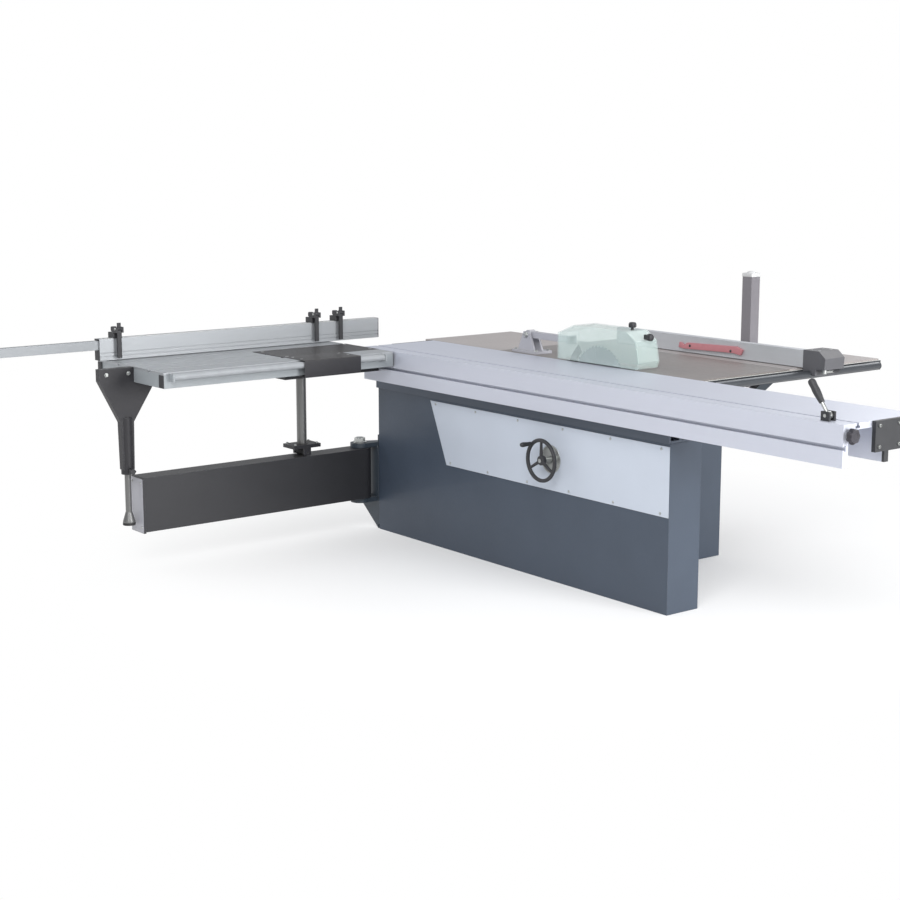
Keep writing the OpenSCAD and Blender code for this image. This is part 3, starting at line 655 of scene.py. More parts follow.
    def rod(self, a: Point, b: Point, radius: float, sides: int, end: float = 0.0) -> Mesh:
        """Adds a straight or tapered bar.

        Args:
            a: first end.
            b: second end.
            radius: radius at the first end.
            sides: faces round the bar.
            end: radius at the second end, if it differs.

        Returns:
            The mesh itself.
        """
        run = Vector(b) - Vector(a)
        profile = [(0, 0), (radius, 0), (end or radius, run.length), (0, run.length)]
        return self.lathe(profile, a, run, sides)

    def _close(self, name: str) -> bpy.types.Mesh:
        """Turns the faces outward and ends the mesh.

        Args:
            name: the mesh's name.

        Returns:
            The mesh data.
        """
        data = bpy.data.meshes.new(name)
        bmesh.ops.recalc_face_normals(self.bm, faces=self.bm.faces)
        self.bm.to_mesh(data)
        self.bm.free()
        return data

    def piece(self, name: str, finish: Finish, body: str, *replaces: str,
              slot: str = "") -> None:
        """Closes the mesh and puts it on a body.

        Args:
            name: the piece's name.
            finish: one of the palette's finishes.
            body: the body that carries it.
            replaces: solids that it stands for.
            slot: the record's material slot, if it isn't the finish's own; not used.
        """
        bmesh.ops.remove_doubles(self.bm, verts=self.bm.verts, dist=WELD)
        data = self._close(name)
        data.materials.append(finish.get())
        show(name, data, body, replaces)

    def template(self, name: str) -> bpy.types.Object:
        """Closes the mesh as a pattern for repeats, not shown."""
        return link(name, self._close(name))


def show(name: str, data: bpy.types.Mesh, body: str,
         replaces: Sequence[str] = ()) -> None:
    """Smooths a mesh and makes it a piece that rides on its body.

    Args:
        name: the piece's name.
        data: the finished mesh.
        body: the body that carries it.
        replaces: solids that it stands for.
    """
    data.shade_smooth()
    data.set_sharp_from_angle(angle=SMOOTH_ANGLE)
    piece = link(name, data)
    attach(piece, body)
    if replaces:
        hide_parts(*replaces)
    LOG.info("%s: %d faces on %s", piece.name, len(data.polygons), body)


class Repeat(Tree):
    """A geometry tree with named inputs that makes one repeated piece."""

    def __init__(self, name: str, **inputs: str) -> None:
        """Opens the tree with a geometry input, the named ones and a finish.

        Args:
            name: the tree's name.
            inputs: kinds of socket by name.
        """
        super().__init__(bpy.data.node_groups.new(name, "GeometryNodeTree"))
        kinds = {"Geometry": "Geometry", **inputs, "Finish": "Material"}
        new = self.tree.interface.new_socket
        self.ids = {key: new(key, in_out="INPUT", socket_type="NodeSocket" + kind).identifier
                    for key, kind in kinds.items()}
        new("Geometry", in_out="OUTPUT", socket_type="NodeSocketGeometry")
        self.start = self.tree.nodes.new("NodeGroupInput")

    def own(self, name: str) -> Sock:
        """One of the tree's own inputs."""
        return Sock(self, self.start.outputs[name])

    def shape(self, name: str) -> Sock:
        """Geometry of an object that is an input."""
        return self.node("GeometryNodeObjectInfo", {}, {"Object": self.own(name)}, "Geometry")

    def spread(self, **inputs: Any) -> Sock:
        """Adds the node that sets instances on points."""
        return self.node("GeometryNodeInstanceOnPoints", {}, inputs)

    def close(self, shape: Sock) -> None:
        """Realises the instances, gives them their finish and ends the tree.

        Args:
            shape: the instances.
        """
        real = self.node("GeometryNodeRealizeInstances", {}, {"Geometry": shape})
        done = self.node("GeometryNodeSetMaterial", {},
                         {"Geometry": real, "Material": self.own("Finish")})
        self.node("NodeGroupOutput", {}, {0: done})

    def make(self, name: str, mesh: bpy.types.Mesh, body: str, **values: Any) -> None:
        """Runs the tree once and keeps the result as a plain mesh.

        Args:
            name: the piece's name.
            mesh: the points or mesh that the tree starts from.
            body: the body that carries the piece.
            values: the tree's inputs by name.
        """
        holder = link(name + "_start", mesh)
        modifier = holder.modifiers.new("repeat", "NODES")
        modifier.node_group = self.tree
        for key, value in values.items():
            modifier[self.ids[key]] = value
        bpy.context.view_layer.update()
        ready = holder.evaluated_get(bpy.context.evaluated_depsgraph_get())
        data = bpy.data.meshes.new_from_object(ready)
        data.name = name
        holder.modifiers.remove(modifier)
        bpy.data.objects.remove(holder)
        if "face" in data.attributes:
            data.attributes.remove(data.attributes["face"])
        show(name, data, body)


class Head(Enum):
    """Kinds of fastener head."""

    HEX = "hex"
    SOCKET = "socket"
    DOME = "dome"
    FLUSH = "flush"


HEAD_FORMS: dict[Head, list[tuple[Profile, int, bool]]] = {
    Head.HEX: [
        ([(0, 0), (1.0, 0), (1.0, 0.14), (0.94, 0.2), (0, 0.2)], 20, False),
        ([(0, 0.2), (0.78, 0.2), (0.78, 0.68), (0.66, 0.76), (0, 0.76)], 6, False)],
    Head.SOCKET: [
        ([(0, 0), (1.0, 0), (1.0, 0.9), (0.9, 1.0), (0.56, 1.0)], 24, False),
        ([(0.56, 1.0), (0.5, 0.95), (0.5, 0.4), (0, 0.4)], 6, False)],
    Head.DOME: [
        ([(0, 0), (1.0, 0), (0.96, 0.2), (0.75, 0.42), (0.4, 0.55), (0, 0.58)], 20, False)],
    Head.FLUSH: [
        ([(1.0, 0), (1.0, 0.03), (0.94, 0.06), (0.5, 0.06), (0.5, 0)], 20, True),
        ([(0, 0.005), (0.5, 0.005), (0.5, 0.02), (0, 0.02)], 6, False)],
}


class Fasteners(Repeat):
    """Screws, bolts and rivets set on points of the saw by one tree."""

    def __init__(self) -> None:
        """Builds the tree and the head patterns."""
        super().__init__("fasteners", Head="Object", Size="Float")
        way = self.node("GeometryNodeInputNamedAttribute", {"data_type": "FLOAT_VECTOR"},
                        {"Name": "face"})
        turn = self.node("FunctionNodeAlignRotationToVector", {"axis": "Z"}, {"Vector": way})
        self.close(self.spread(Points=self.own("Geometry"), Instance=self.shape("Head"),
                               Rotation=turn, Scale=self.own("Size")))
        self.heads = {kind: self.pattern(kind) for kind in Head}

    @staticmethod
    def pattern(kind: Head) -> bpy.types.Object:
        """Makes one head with a radius of one, standing on the origin.

        Args:
            kind: kind of head.

        Returns:
            The pattern.
        """
        mesh = Mesh()
        for profile, sides, bored in HEAD_FORMS[kind]:
            mesh.lathe(profile, ORIGIN, UP, sides, bored)
        if kind is Head.DOME:
            mesh.box((-0.5, -0.09, 0.42), (0.5, 0.09, 0.6), 0.0)
            mesh.box((-0.09, -0.5, 0.42), (0.09, 0.5, 0.6), 0.0)
        return mesh.template(kind.value + "_head")

    def put(self, name: str, body: str, head: Head, radius: float, places: Spots,
            finish: Finish = Palette.ZINC) -> None:
        """Sets one group of heads.

        Args:
            name: the piece's name.
            body: the body that carries them.
            head: kind of head.
            radius: radius of a head.
            places: places with their outward directions.
            finish: finish of the heads.
        """
        mesh = bpy.data.meshes.new(name)
        mesh.from_pydata([tuple(place) for place, _ in places], [], [])
        faces = mesh.attributes.new("face", "FLOAT_VECTOR", "POINT")
        faces.data.foreach_set("vector", [c for _, way in places for c in way])
        self.make(name, mesh, body, Head=self.heads[head], Size=radius, Finish=finish.get())

    def clear(self) -> None:
        """Removes the head patterns."""
        for head in self.heads.values():
            bpy.data.objects.remove(head)


class Rulers(Repeat):
    """Measuring tapes along Y: rows of marks, longer at each fifth and tenth."""

    STEP = (0, 0.010, 0)
    GROW = (1.2, 0.4, 0)
    MARK = (0.0007, 0.0004)
    SUNK, PROUD, MARK_UP = 0.0002, 0.0004, 0.0006

    def __init__(self) -> None:
        """Builds the tree."""
        super().__init__("ruler", Count="Int", Start="Vector", Mark="Vector")
        line = self.node("GeometryNodeMeshLine", {}, {
            "Count": self.own("Count"), "Start Location": self.own("Start"), "Offset": self.STEP})
        cube = self.node("GeometryNodeMeshCube", {}, {"Size": self.own("Mark")})
        index = self.node("GeometryNodeInputIndex", {}, {})
        fifth, tenth = (self.math("LESS_THAN", self.math("MODULO", index, every), 0.5) * 0.5
                        for every in (5.0, 10.0))
        grow = self.node("VectorMath", {"operation": "SCALE"},
                         {0: self.GROW, "Scale": fifth + tenth})
        size = self.node("VectorMath", {"operation": "ADD"}, {0: grow, 1: (1.0, 1.0, 1.0)})
        self.close(self.spread(Points=line, Instance=cube, Scale=size))

    def put(self, name: str, body: str, low: Point, high: Point, top: float, first: Point,
            count: int, width: float) -> None:
        """Lays one tape with its marks.

        Args:
            name: start of both pieces' names.
            body: the body that carries them.
            low: first corner of the tape.
            high: far corner of the tape.
            top: height of the surface under it.
            first: middle of the first mark.
            count: number of marks.
            width: length of a short mark.
        """
        tape = Mesh().box((*low, top - self.SUNK), (*high, top + self.PROUD), 0.0)
        tape.piece(name + "_tape", Palette.TAPE, body)
        name += "_scale"
        self.make(name, bpy.data.meshes.new(name), body, Count=count, Finish=Palette.MARK.get(),
                  Start=(*first, top + self.MARK_UP), Mark=(width, *self.MARK))


class Rounds(Repeat):
    """Copies of one pattern turned about an axis, such as blade teeth."""

    def __init__(self) -> None:
        """Builds the tree."""
        super().__init__("rounds", Pattern="Object", Count="Int", Angle="Float",
                         Middle="Vector", Turn="Rotation")
        line = self.node("GeometryNodeMeshLine", {},
                         {"Count": self.own("Count"), "Offset": ORIGIN})
        index = self.node("GeometryNodeInputIndex", {}, {})
        about = self.node("FunctionNodeAxisAngleToRotation", {},
                          {"Axis": UP, "Angle": index * self.own("Angle")})
        spread = self.spread(Points=line, Instance=self.shape("Pattern"), Rotation=about)
        self.close(self.node("GeometryNodeTransform", {}, {
            "Geometry": spread, "Translation": self.own("Middle"), "Rotation": self.own("Turn")}))

    def put(self, name: str, body: str, pattern: bpy.types.Object, count: int, middle: Point,
            axis: Vector, finish: Finish) -> None:
        """Sets the copies and removes the pattern.

        Args:
            name: the piece's name.
            body: the body that carries them.
            pattern: one copy, about the Z axis at the origin.
            count: number of copies.
            middle: where the axis runs.
            axis: its direction.
            finish: finish of the copies.
        """
        turn = axis.normalized().to_track_quat("Z", "Y").to_euler()
        self.make(name, bpy.data.meshes.new(name), body, Pattern=pattern, Count=count,
                  Angle=FULL_TURN / count, Middle=middle, Turn=tuple(turn), Finish=finish.get())
        bpy.data.objects.remove(pattern)


@dataclass
class Studio:
    """Pale floor, soft light and the camera at the photograph's angle."""

    eye: Point = (5.356, -4.918, 1.776)
    yaw: float = 52.064
    pitch: float = 10.324
    lens: float = 68.33
    floor_size: float = 60.0
    fade: Point = (0.46, 0.03)
    dome: float = 0.55
    dome_code: str = "f3f6fb"
    floor_code: str = "f4f4f4"
    sensor: float = 36.0
    sight: float = 200.0
    lamps: tuple[tuple[str, Point, Point, float, float], ...] = (
        ("key_light", (4.6, -5.2, 5.6), (0.2, -0.3, 0.6), 4.2, 410.0),
        ("fill_light", (-5.5, -3.5, 4.0), (0.0, -0.4, 0.6), 4.0, 120.0),
        ("back_light", (-1.0, 6.0, 4.8), (0.0, 0.2, 0.8), 4.5, 170.0),
        ("side_light", (6.5, 1.2, 1.9), (0.9, -0.2, 0.4), 2.6, 320.0))

    def build(self) -> None:
        """Makes the stage."""
        self.camera()
        self.floor()
        self.world()
        for lamp in self.lamps:
            self.lamp(*lamp)
        bpy.context.scene.view_settings.view_transform = "Standard"

    @staticmethod
    def aim(name: str, data: Any, place: Point, ahead: Vector) -> bpy.types.Object:
        """Sets a lamp or camera in the scene.

        Args:
            name: the object's name.
            data: the lamp or camera.
            place: where it stands.
            ahead: where it looks.

        Returns:
            The object.
        """
        made = link(name, data)
        made.location = place
        made.rotation_euler = ahead.to_track_quat("-Z", "Y").to_euler()
        return made

    def camera(self) -> None:
        """Sets the camera."""
        yaw, pitch = math.radians(self.yaw), math.radians(self.pitch)
        ahead = Vector((-math.sin(yaw) * math.cos(pitch), math.cos(yaw) * math.cos(pitch),
                        -math.sin(pitch)))
        data = bpy.data.cameras.new("camera")
        data.lens = self.lens
        data.sensor_width = self.sensor
        data.clip_end = self.sight
        bpy.context.scene.camera = self.aim("camera", data, self.eye, ahead)

    def floor(self) -> None:
        """Lays the floor, which fades to white away from the saw."""
        half = self.floor_size / 2
        data = bpy.data.meshes.new("floor")
        data.from_pydata([(-half, -half, 0), (half, -half, 0), (half, half, 0), (-half, half, 0)],
                         [], [(0, 1, 2, 3)])
        g = Graph("pale_floor")
        where = g.node("TexCoord", {}, {}, "Object")
        away = g.node("VectorMath", {"operation": "LENGTH"}, {0: where}, "Value")
        share = (away * self.fade[0] - self.fade[1]).unit()
        seen, mirrored, through = (g.node("LightPath", {}, {}, f"Is {ray} Ray")
                                   for ray in ("Camera", "Glossy", "Transmission"))
        white = g.node("Emission", {}, {"Color": WHITE, "Strength": 1.0})
        matt = g.node("BsdfDiffuse", {}, {"Color": srgb(self.floor_code)})
        part = share * (seen + mirrored + through).unit()
        data.materials.append(g.end(g.node("MixShader", {}, {0: part, 1: matt, 2: white})))
        link("floor", data)

    def world(self) -> None:
        """Sets an even dome that shows as white."""
        world = bpy.data.worlds.new("dome")
        bpy.context.scene.world = world
        world.use_nodes = True
        sky = Tree(world.node_tree)
        seen = sky.node("LightPath", {}, {}, "Is Camera Ray")
        dome = sky.node("Background", {},
                        {"Color": srgb(self.dome_code), "Strength": self.dome})
        white = sky.node("Background", {}, {"Color": WHITE})
        mix = sky.node("MixShader", {}, {0: seen, 1: dome, 2: white})
        sky.node("OutputWorld", {}, {"Surface": mix})

    def lamp(self, name: str, place: Point, aim: Point, size: float, power: float) -> None:
        """Hangs one soft lamp.

        Args:
            name: the lamp's name.
            place: where it hangs.
            aim: the point that it looks at.
            size: side of its square.
            power: watts.
        """
        data = bpy.data.lights.new(name, "AREA")
        data.size = size
        data.energy = power
        self.aim(name, data, place, Vector(aim) - Vector(place))


@dataclass
class Assembly:
    """A sub-assembly, with the frame's solids and the makers that all of them share."""

    nodes: dict[str, bpy.types.Object]
    screws: Fasteners
    rulers: Rulers
    rounds: Rounds

    def build(self) -> None:
        """Dresses the solids and adds the fittings; each sub-assembly has its own."""
        raise NotImplementedError

    def dress(self, finishes: dict[Finish, str]) -> None:
        """Gives solids their finish.

        Args:
            finishes: the solids' names, with spaces between, by finish.
        """
        for finish, names in finishes.items():
            for name in names.split():
                data = self.nodes[name].data
                data.materials.clear()
                data.materials.append(finish.get())
                LOG.info("%s: %s", name, finish.name)


def spots(xs: Iterable[float], ys: Sequence[float], zs: Sequence[float], way: Vector) -> Spots:
    """Every mix of the given coordinates, all facing one way."""
    return [((x, y, z), tuple(way)) for x in xs for y in ys for z in zs]


def diagonal_spots(middle: Point, radius: float, axis: Axis, way: Vector) -> Spots:
    """Finds four spots at the diagonals of a circle.

    Args:
        middle: middle of the circle.
        radius: its radius.
        axis: direction across it.
        way: where the spots face.

    Returns:
        Places with their directions.
    """
    found: Spots = []
    for a in (math.radians(45 + 90 * i) for i in range(4)):
        step = [radius * math.cos(a), radius * math.sin(a)]
        step.insert(axis.value, 0.0)
        found.append((tuple(m + s for m, s in zip(middle, step)), tuple(way)))
    return found


@dataclass
class BaseCabinet(Assembly):
    """Sheet-steel base, its silver cover, rear door and switch box."""

    face_y: float = -0.433
    cover_low: float = 0.389
    cover_high: float = 0.636
    dial: Point = (0.265, -0.433, 0.505)
    end_x: float = -0.944
    web: tuple[Point, Point] = ((-0.9990, -0.4345, 0.1512), (-0.9330, -0.4290, 0.3848))
    pin: Point = (-0.985, -0.500, 0.406)
    spigot: Point = (-0.520, 0.100, 0.200)
    box_face: float = 0.430
    door_y: float = 0.434

    def build(self) -> None:
        """Dresses the base and adds its fittings."""
        self.dress({
            Palette.SLATE: "base_housing service_door", Palette.SILVER: "front_panel",
            Palette.SLATE_DARK: "arm_bracket table_struts", Palette.BOX: "control_box",
            Palette.START: "start_button", Palette.STOP: "stop_button"})
        self.cover()
        self.bracket()
        self.outlet()
        self.switches()
        self.door()

    def cover(self) -> None:
        """Screws of the silver cover, and the dial behind the lift wheel."""
        rows: Spots = []
        for x, step, z in ((-0.50, 0.2775, self.cover_high), (-0.395, 0.2565, self.cover_low)):
            rows += spots((x + step * i for i in range(6)), (self.face_y,), (z,), -OUT_Y)
        self.screws.put("cover_screws", "base", Head.DOME, 0.0055, rows)
        Mesh().washer(0.0135, 0.058, self.dial, -OUT_Y, 0.003, 72).piece(
            "lift_dial", Palette.ZINC, "base")
        mark = Mesh().box((0.047, -0.0005, 0.003), (0.055, 0.0005, 0.0034), 0.0)
        self.rounds.put("lift_dial_marks", "base", mark.template("dial_mark"), 40, self.dial,
                        -OUT_Y, Palette.MARK)

    def bracket(self) -> None:
        """Web and bolts of the arm's bracket, and the nut of its pin."""
        Mesh().box(*self.web, 0.0012).piece("bracket_web", Palette.SLATE_DARK, "base")
        bolts = spots((self.end_x,), (-0.402, -0.326), (0.060, 0.210, 0.310, 0.420), -OUT_X)
        self.screws.put("bracket_bolts", "base", Head.HEX, 0.012, bolts)
        self.screws.put("arm_pin_nut", "base", Head.HEX, 0.032, [(self.pin, UP)])

    def outlet(self) -> None:
        """Flange and rolled rim of the dust outlet."""
        x, y, z = self.spigot
        Mesh().washer(0.0602, 0.084, self.spigot, -OUT_X, 0.004, 64).piece(
            "outlet_flange", Palette.SLATE_DARK, "base")
        Mesh().ring((x - 0.0665, y, z), -OUT_X, 0.0595, 0.0034, 72, 12).piece(
            "outlet_rim", Palette.SLATE, "base")
        around = diagonal_spots((x - 0.004, y, z), 0.072, Axis.X, -OUT_X)
        self.screws.put("outlet_screws", "base", Head.DOME, 0.005, around)

    def switches(self) -> None:
        """Lid and screws of the switch box, and the collar of its start button."""
        x = self.box_face
        Mesh().box((x - 0.012, 0.1985, 0.6585), (x - 0.008, 0.3315, 0.7915), 0.001).piece(
            "switch_box_seam", Palette.BLACK, "base")
        corners = spots((x,), (0.208, 0.322), (0.668, 0.782), OUT_X)
        self.screws.put("switch_box_screws", "base", Head.DOME, 0.004, corners)
        Mesh().washer(0.0117, 0.0165, (x, 0.235, 0.740), OUT_X, 0.003).piece(
            "start_collar", Palette.ZINC, "base")

    def door(self) -> None:
        """Hinge screws, latch and folded edge of the rear door."""
        y = self.door_y
        screws = spots((-0.337,), (y + 0.004,), (0.162, 0.198, 0.532, 0.568), OUT_Y)
        self.screws.put("hinge_screws", "door", Head.DOME, 0.0045, screws)
        fold = Mesh()
        for low, high in (((-0.322, 0.097), (0.243, 0.105)), ((-0.322, 0.655), (0.243, 0.663)),
                          ((0.235, 0.107), (0.243, 0.653))):
            fold.box((low[0], y - 0.001, low[1]), (high[0], y + 0.0025, high[1]), 0.0018)
        fold.piece("door_fold", Palette.SLATE, "door")
        latch = Mesh().lathe([(0, 0), (0.016, 0), (0.016, 0.003), (0.013, 0.005), (0, 0.005)],
                             (0.215, y + 0.018, 0.380), OUT_Y, 32)
        latch.box((0.2115, y + 0.020, 0.362), (0.2185, y + 0.030, 0.398), 0.003)
        latch.piece("door_latch", Palette.BLACK, "door")


@dataclass
class SlidingCarriage(Assembly):
    """Extruded carriage with its end plates, lever and knob."""

    block_x: float = 1.800
    rear_x: float = -0.964
    hinge: Point = (1.690, -0.458, 0.868)
    lean: float = 36.0
    knob: Point = (1.784, -0.466, 0.812)

    def build(self) -> None:
        """Dresses the slide and adds its fittings."""
        # The guide beam's finish carries painted shade for the gap under the carriage.
        self.dress({Palette.CARRIAGE: "carriage", Palette.END: "carriage_caps",
                    Palette.BEAM: "guide_beam", Palette.STEEL: "shuttle"})
        near = spots((self.block_x,), (-0.327, -0.223, -0.119), (0.762, 0.834), OUT_X)
        self.screws.put("end_block_screws", "carriage", Head.SOCKET, 0.006, near)
        far = spots((self.rear_x,), (-0.312, -0.120), (0.839,), -OUT_X)
        far += spots((self.rear_x,), (-0.278,), (0.722, 0.800), -OUT_X)
        self.screws.put("end_plate_screws", "carriage", Head.SOCKET, 0.005, far)
        self.lever()
        self.end_knob()

    def lever(self) -> None:
        """Lock lever: pin, hub, steel stem and turned grip."""
        x, _, z = self.hinge
        angle = math.radians(self.lean)
        lean = Vector((-math.sin(angle), 0.0, math.cos(angle)))
        stem = Mesh().lathe([(0, 0), (0.006, 0), (0.006, 0.040), (0, 0.040)],
                            (x, -0.478, z), OUT_Y, 24)
        stem.lathe([(0, 0), (0.0122, 0), (0.013, 0.0008), (0.013, 0.0182), (0.0122, 0.019),
                    (0, 0.019)], (x, -0.4675, z), OUT_Y, 32)
        stem.rod(self.hinge, Vector(self.hinge) + lean * 0.054, 0.0068, 24)
        stem.piece("lever_stem", Palette.ZINC, "lever", "carriage_lever")
        grip = [(0, 0.048), (0.0085, 0.048), (0.0098, 0.050), (0.0102, 0.054), (0.0110, 0.062),
                (0.0132, 0.082), (0.0138, 0.098), (0.0128, 0.110), (0.0135, 0.120),
                (0.0138, 0.128), (0.0118, 0.135), (0.0070, 0.1385), (0, 0.139)]
        Mesh().lathe(grip, self.hinge, lean, 36).piece("lever_grip", Palette.BLACK, "lever")

    def end_knob(self) -> None:
        """Lobed knob on the front corner, and its spindle."""
        x, y, z = self.knob
        Mesh().knob((x + 0.008, y, z), OUT_X, 7, [
            (0, 0, 0), (0.020, 0, 0.04), (0.0262, 0.002, 0.16), (0.028, 0.006, 0.2),
            (0.028, 0.015, 0.2), (0.0262, 0.0195, 0.16), (0.0225, 0.022, 0.06),
            (0.014, 0.0215, 0), (0.0125, 0.0200, 0), (0, 0.0200, 0)]).piece(
            "end_knob_grip", Palette.GREY, "knob", "end_knob")
        Mesh().lathe([(0, -0.036), (0.006, -0.036), (0.006, 0.0004), (0.013, 0.0004),
                      (0.014, 0.0014), (0.014, 0.008), (0, 0.008)], self.knob, OUT_X).piece(
            "end_knob_spindle", Palette.ZINC, "knob")


@dataclass
class CrosscutTable(Assembly):
    """Outrigger table, its fence, stops, post and leg."""

    top: float = 0.850
    fence_x: float = -1.220
    fence_top: float = 0.945
    fence_low: float = 0.853
    cell: Point = (0.898, 0.938)
    stops: Point = (-0.597, -0.464, -1.597)
    post: Point = (-0.985, -0.815, 0.742)
    plate_top: float = 0.4364
    leg: Point = (-0.993, -1.676, 0.182)
    leg_clamp_z: float = 0.415
    outer_y: float = -1.640
    cover_thick: float = 0.0015
    saddle: tuple[float, float] = (-0.990, -0.700)

    def build(self) -> None:
        """Dresses the outrigger and adds its fittings."""
        self.dress({
            Palette.FRAME: "crosscut_frame", Palette.PROFILE: "crosscut_slats crosscut_fence",
            Palette.EXTENSION: "fence_extension", Palette.ROLLER: "edge_roller",
            Palette.BLACK: "stop_carriers flip_stop_a flip_stop_b flip_stop_c",
            Palette.RUBBER: "trolley_roller", Palette.DARK: "frame_clamp outer_leg trolley",
            Palette.STEEL_Z: "table_post leg_stem", Palette.ARM: "swing_arm"})
        self.frame_ends()
        self.clamp_saddle()
        self.fence()
        self.stop_knobs()
        self.support()
        self.drop_leg()

    def frame_ends(self) -> None:
        """Plugs in the frame's tubes, and the screws of slats and clamp."""
        plugs = Mesh()
        for x in (-1.300, -0.760):
            plugs.box((x + 0.001, self.outer_y - 0.003, 0.786),
                      (x + 0.039, self.outer_y + 0.001, 0.839), 0.002)
            plugs.box((x + 0.001, -0.501, 0.786), (x + 0.039, -0.4975, 0.839), 0.0015)
        plugs.piece("tube_plugs", Palette.BLACK, "carriage")
        slats = spots((-1.278, -1.148, -0.812, -0.742), (-1.620, -1.060, -0.522), (self.top,), UP)
        slats += spots((-1.082, -1.006, -0.950, -0.874), (-1.620, -1.060), (self.top,), UP)
        self.screws.put("slat_screws", "carriage", Head.FLUSH, 0.0065, slats)
        clamp = spots((-1.070, -0.870), (-0.960, -0.520), (self.top,), UP)
        self.screws.put("clamp_screws", "carriage", Head.FLUSH, 0.008, clamp)

    def clamp_saddle(self) -> None:
        """Folded sheet from the clamp plate over the front rail and its roller."""
        low, high = self.saddle
        fold = [(-0.846, 0.8502), (-0.846, 0.8520), (-0.6862, 0.8520), (-0.6835, 0.8508),
                (-0.6825, 0.8482), (-0.6825, 0.7795), (-0.7620, 0.7795), (-0.7620, 0.7813),
                (-0.6845, 0.7813), (-0.6845, 0.8480), (-0.6868, 0.8502)]
        Mesh().prism(fold, Axis.Y, low, high, 0.0004).piece(
            "clamp_saddle", Palette.DARK, "carriage")
        held = spots((-0.815, -0.745), (low + 0.025, high - 0.025), (0.852,), UP)
        self.screws.put("saddle_screws", "carriage", Head.FLUSH, 0.0065, held)

    def fence(self) -> None:
        """Scale on the fence, and the caps of its ends."""
        x, top = self.fence_x, self.fence_top
        self.rulers.put("fence", "fence", (x + 0.0065, -1.670), (x + 0.0185, -0.250), top,
                        (x + 0.0155, -1.660), 140, 0.0032)
        caps = Mesh().box((x - 0.020, -0.2405, self.fence_low + 0.0005),
                          (x + 0.020, -0.236, top), 0.002)
        for low, high, ease in ((self.fence_low + 0.0005, self.cell[0] - 0.0005, 0.0018),
                                (self.cell[1] + 0.0005, top, 0.0015)):
            caps.box((x - 0.020, -1.684, low), (x + 0.020, -1.6795, high), ease)
        caps.piece("fence_caps", Palette.BLACK, "fence")

    def stop_knobs(self) -> None:
        """Clamp knobs and pin heads of the three flip stops."""
        knobs = Mesh()
        pins: Spots = []
        for y in self.stops:
            knobs.knob((self.fence_x - 0.010, y, self.fence_top + 0.027), UP, 6, [
                (0, 0, 0), (0.0105, 0, 0.04), (0.0128, 0.002, 0.14), (0.0128, 0.016, 0.14),
                (0.0112, 0.0195, 0.06), (0, 0.0205, 0)])
            for side in (-1, 1):
                pins.append(((self.fence_x + 0.038, y + 0.0182 * side, self.fence_top + 0.040),
                             (0, side, 0)))
        knobs.piece("stop_knobs", Palette.GREY, "fence")
        self.screws.put("stop_pin_heads", "fence", Head.DOME, 0.0055, pins)

    def support(self) -> None:
        """Bolts of the post's flange and of the trolley, and the arm's end cover."""
        x, y, _ = self.post
        flange = diagonal_spots(self.post, 0.034, Axis.Z, -UP)
        self.screws.put("post_bolts", "carriage", Head.HEX, 0.009, flange)
        plate = spots((x - 0.034, x + 0.034), (y - 0.056, y + 0.056), (self.plate_top,), UP)
        self.screws.put("trolley_screws", "trolley", Head.SOCKET, 0.006, plate)
        face = self.outer_y - self.cover_thick
        Mesh().box((-1.0375, face, 0.1495), (-0.9325, self.outer_y + 0.0002, 0.3805),
                   0.0006).piece("arm_end_cover", Palette.STAND, "arm")
        end = spots((-1.022, -0.948), (face,), (0.172, 0.362), -OUT_Y)
        self.screws.put("arm_end_screws", "arm", Head.DOME, 0.006, end)

    def drop_leg(self) -> None:
        """Bolts, clamp screw and rubber pad of the drop leg."""
        x, y, _ = self.leg
        sides: Spots = []
        for way in (1, -1):
            sides += spots((x + 0.016 * way,), (-1.765, -1.665), (0.824,), OUT_X * way)
        self.screws.put("leg_bolts", "carriage", Head.HEX, 0.009, sides)
        clamp = Mesh().lathe([(0, 0), (0.004, 0), (0.004, 0.014), (0, 0.014)],
                             (x + 0.025, y, self.leg_clamp_z), OUT_X, 16)
        clamp.knob((x + 0.036, y, self.leg_clamp_z), OUT_X, 5, [
            (0, 0, 0), (0.010, 0, 0.05), (0.016, 0.003, 0.24), (0.016, 0.012, 0.24),
            (0.0125, 0.016, 0.1), (0, 0.0165, 0)])
        clamp.piece("leg_clamp", Palette.BLACK, "carriage")
        Mesh().lathe([(0, 0), (0.025, 0), (0.0268, 0.002), (0.0268, 0.010), (0.0262, 0.0115),
                      (0, 0.0115)], self.leg, UP, 48).piece("leg_pad", Palette.RUBBER, "leg")


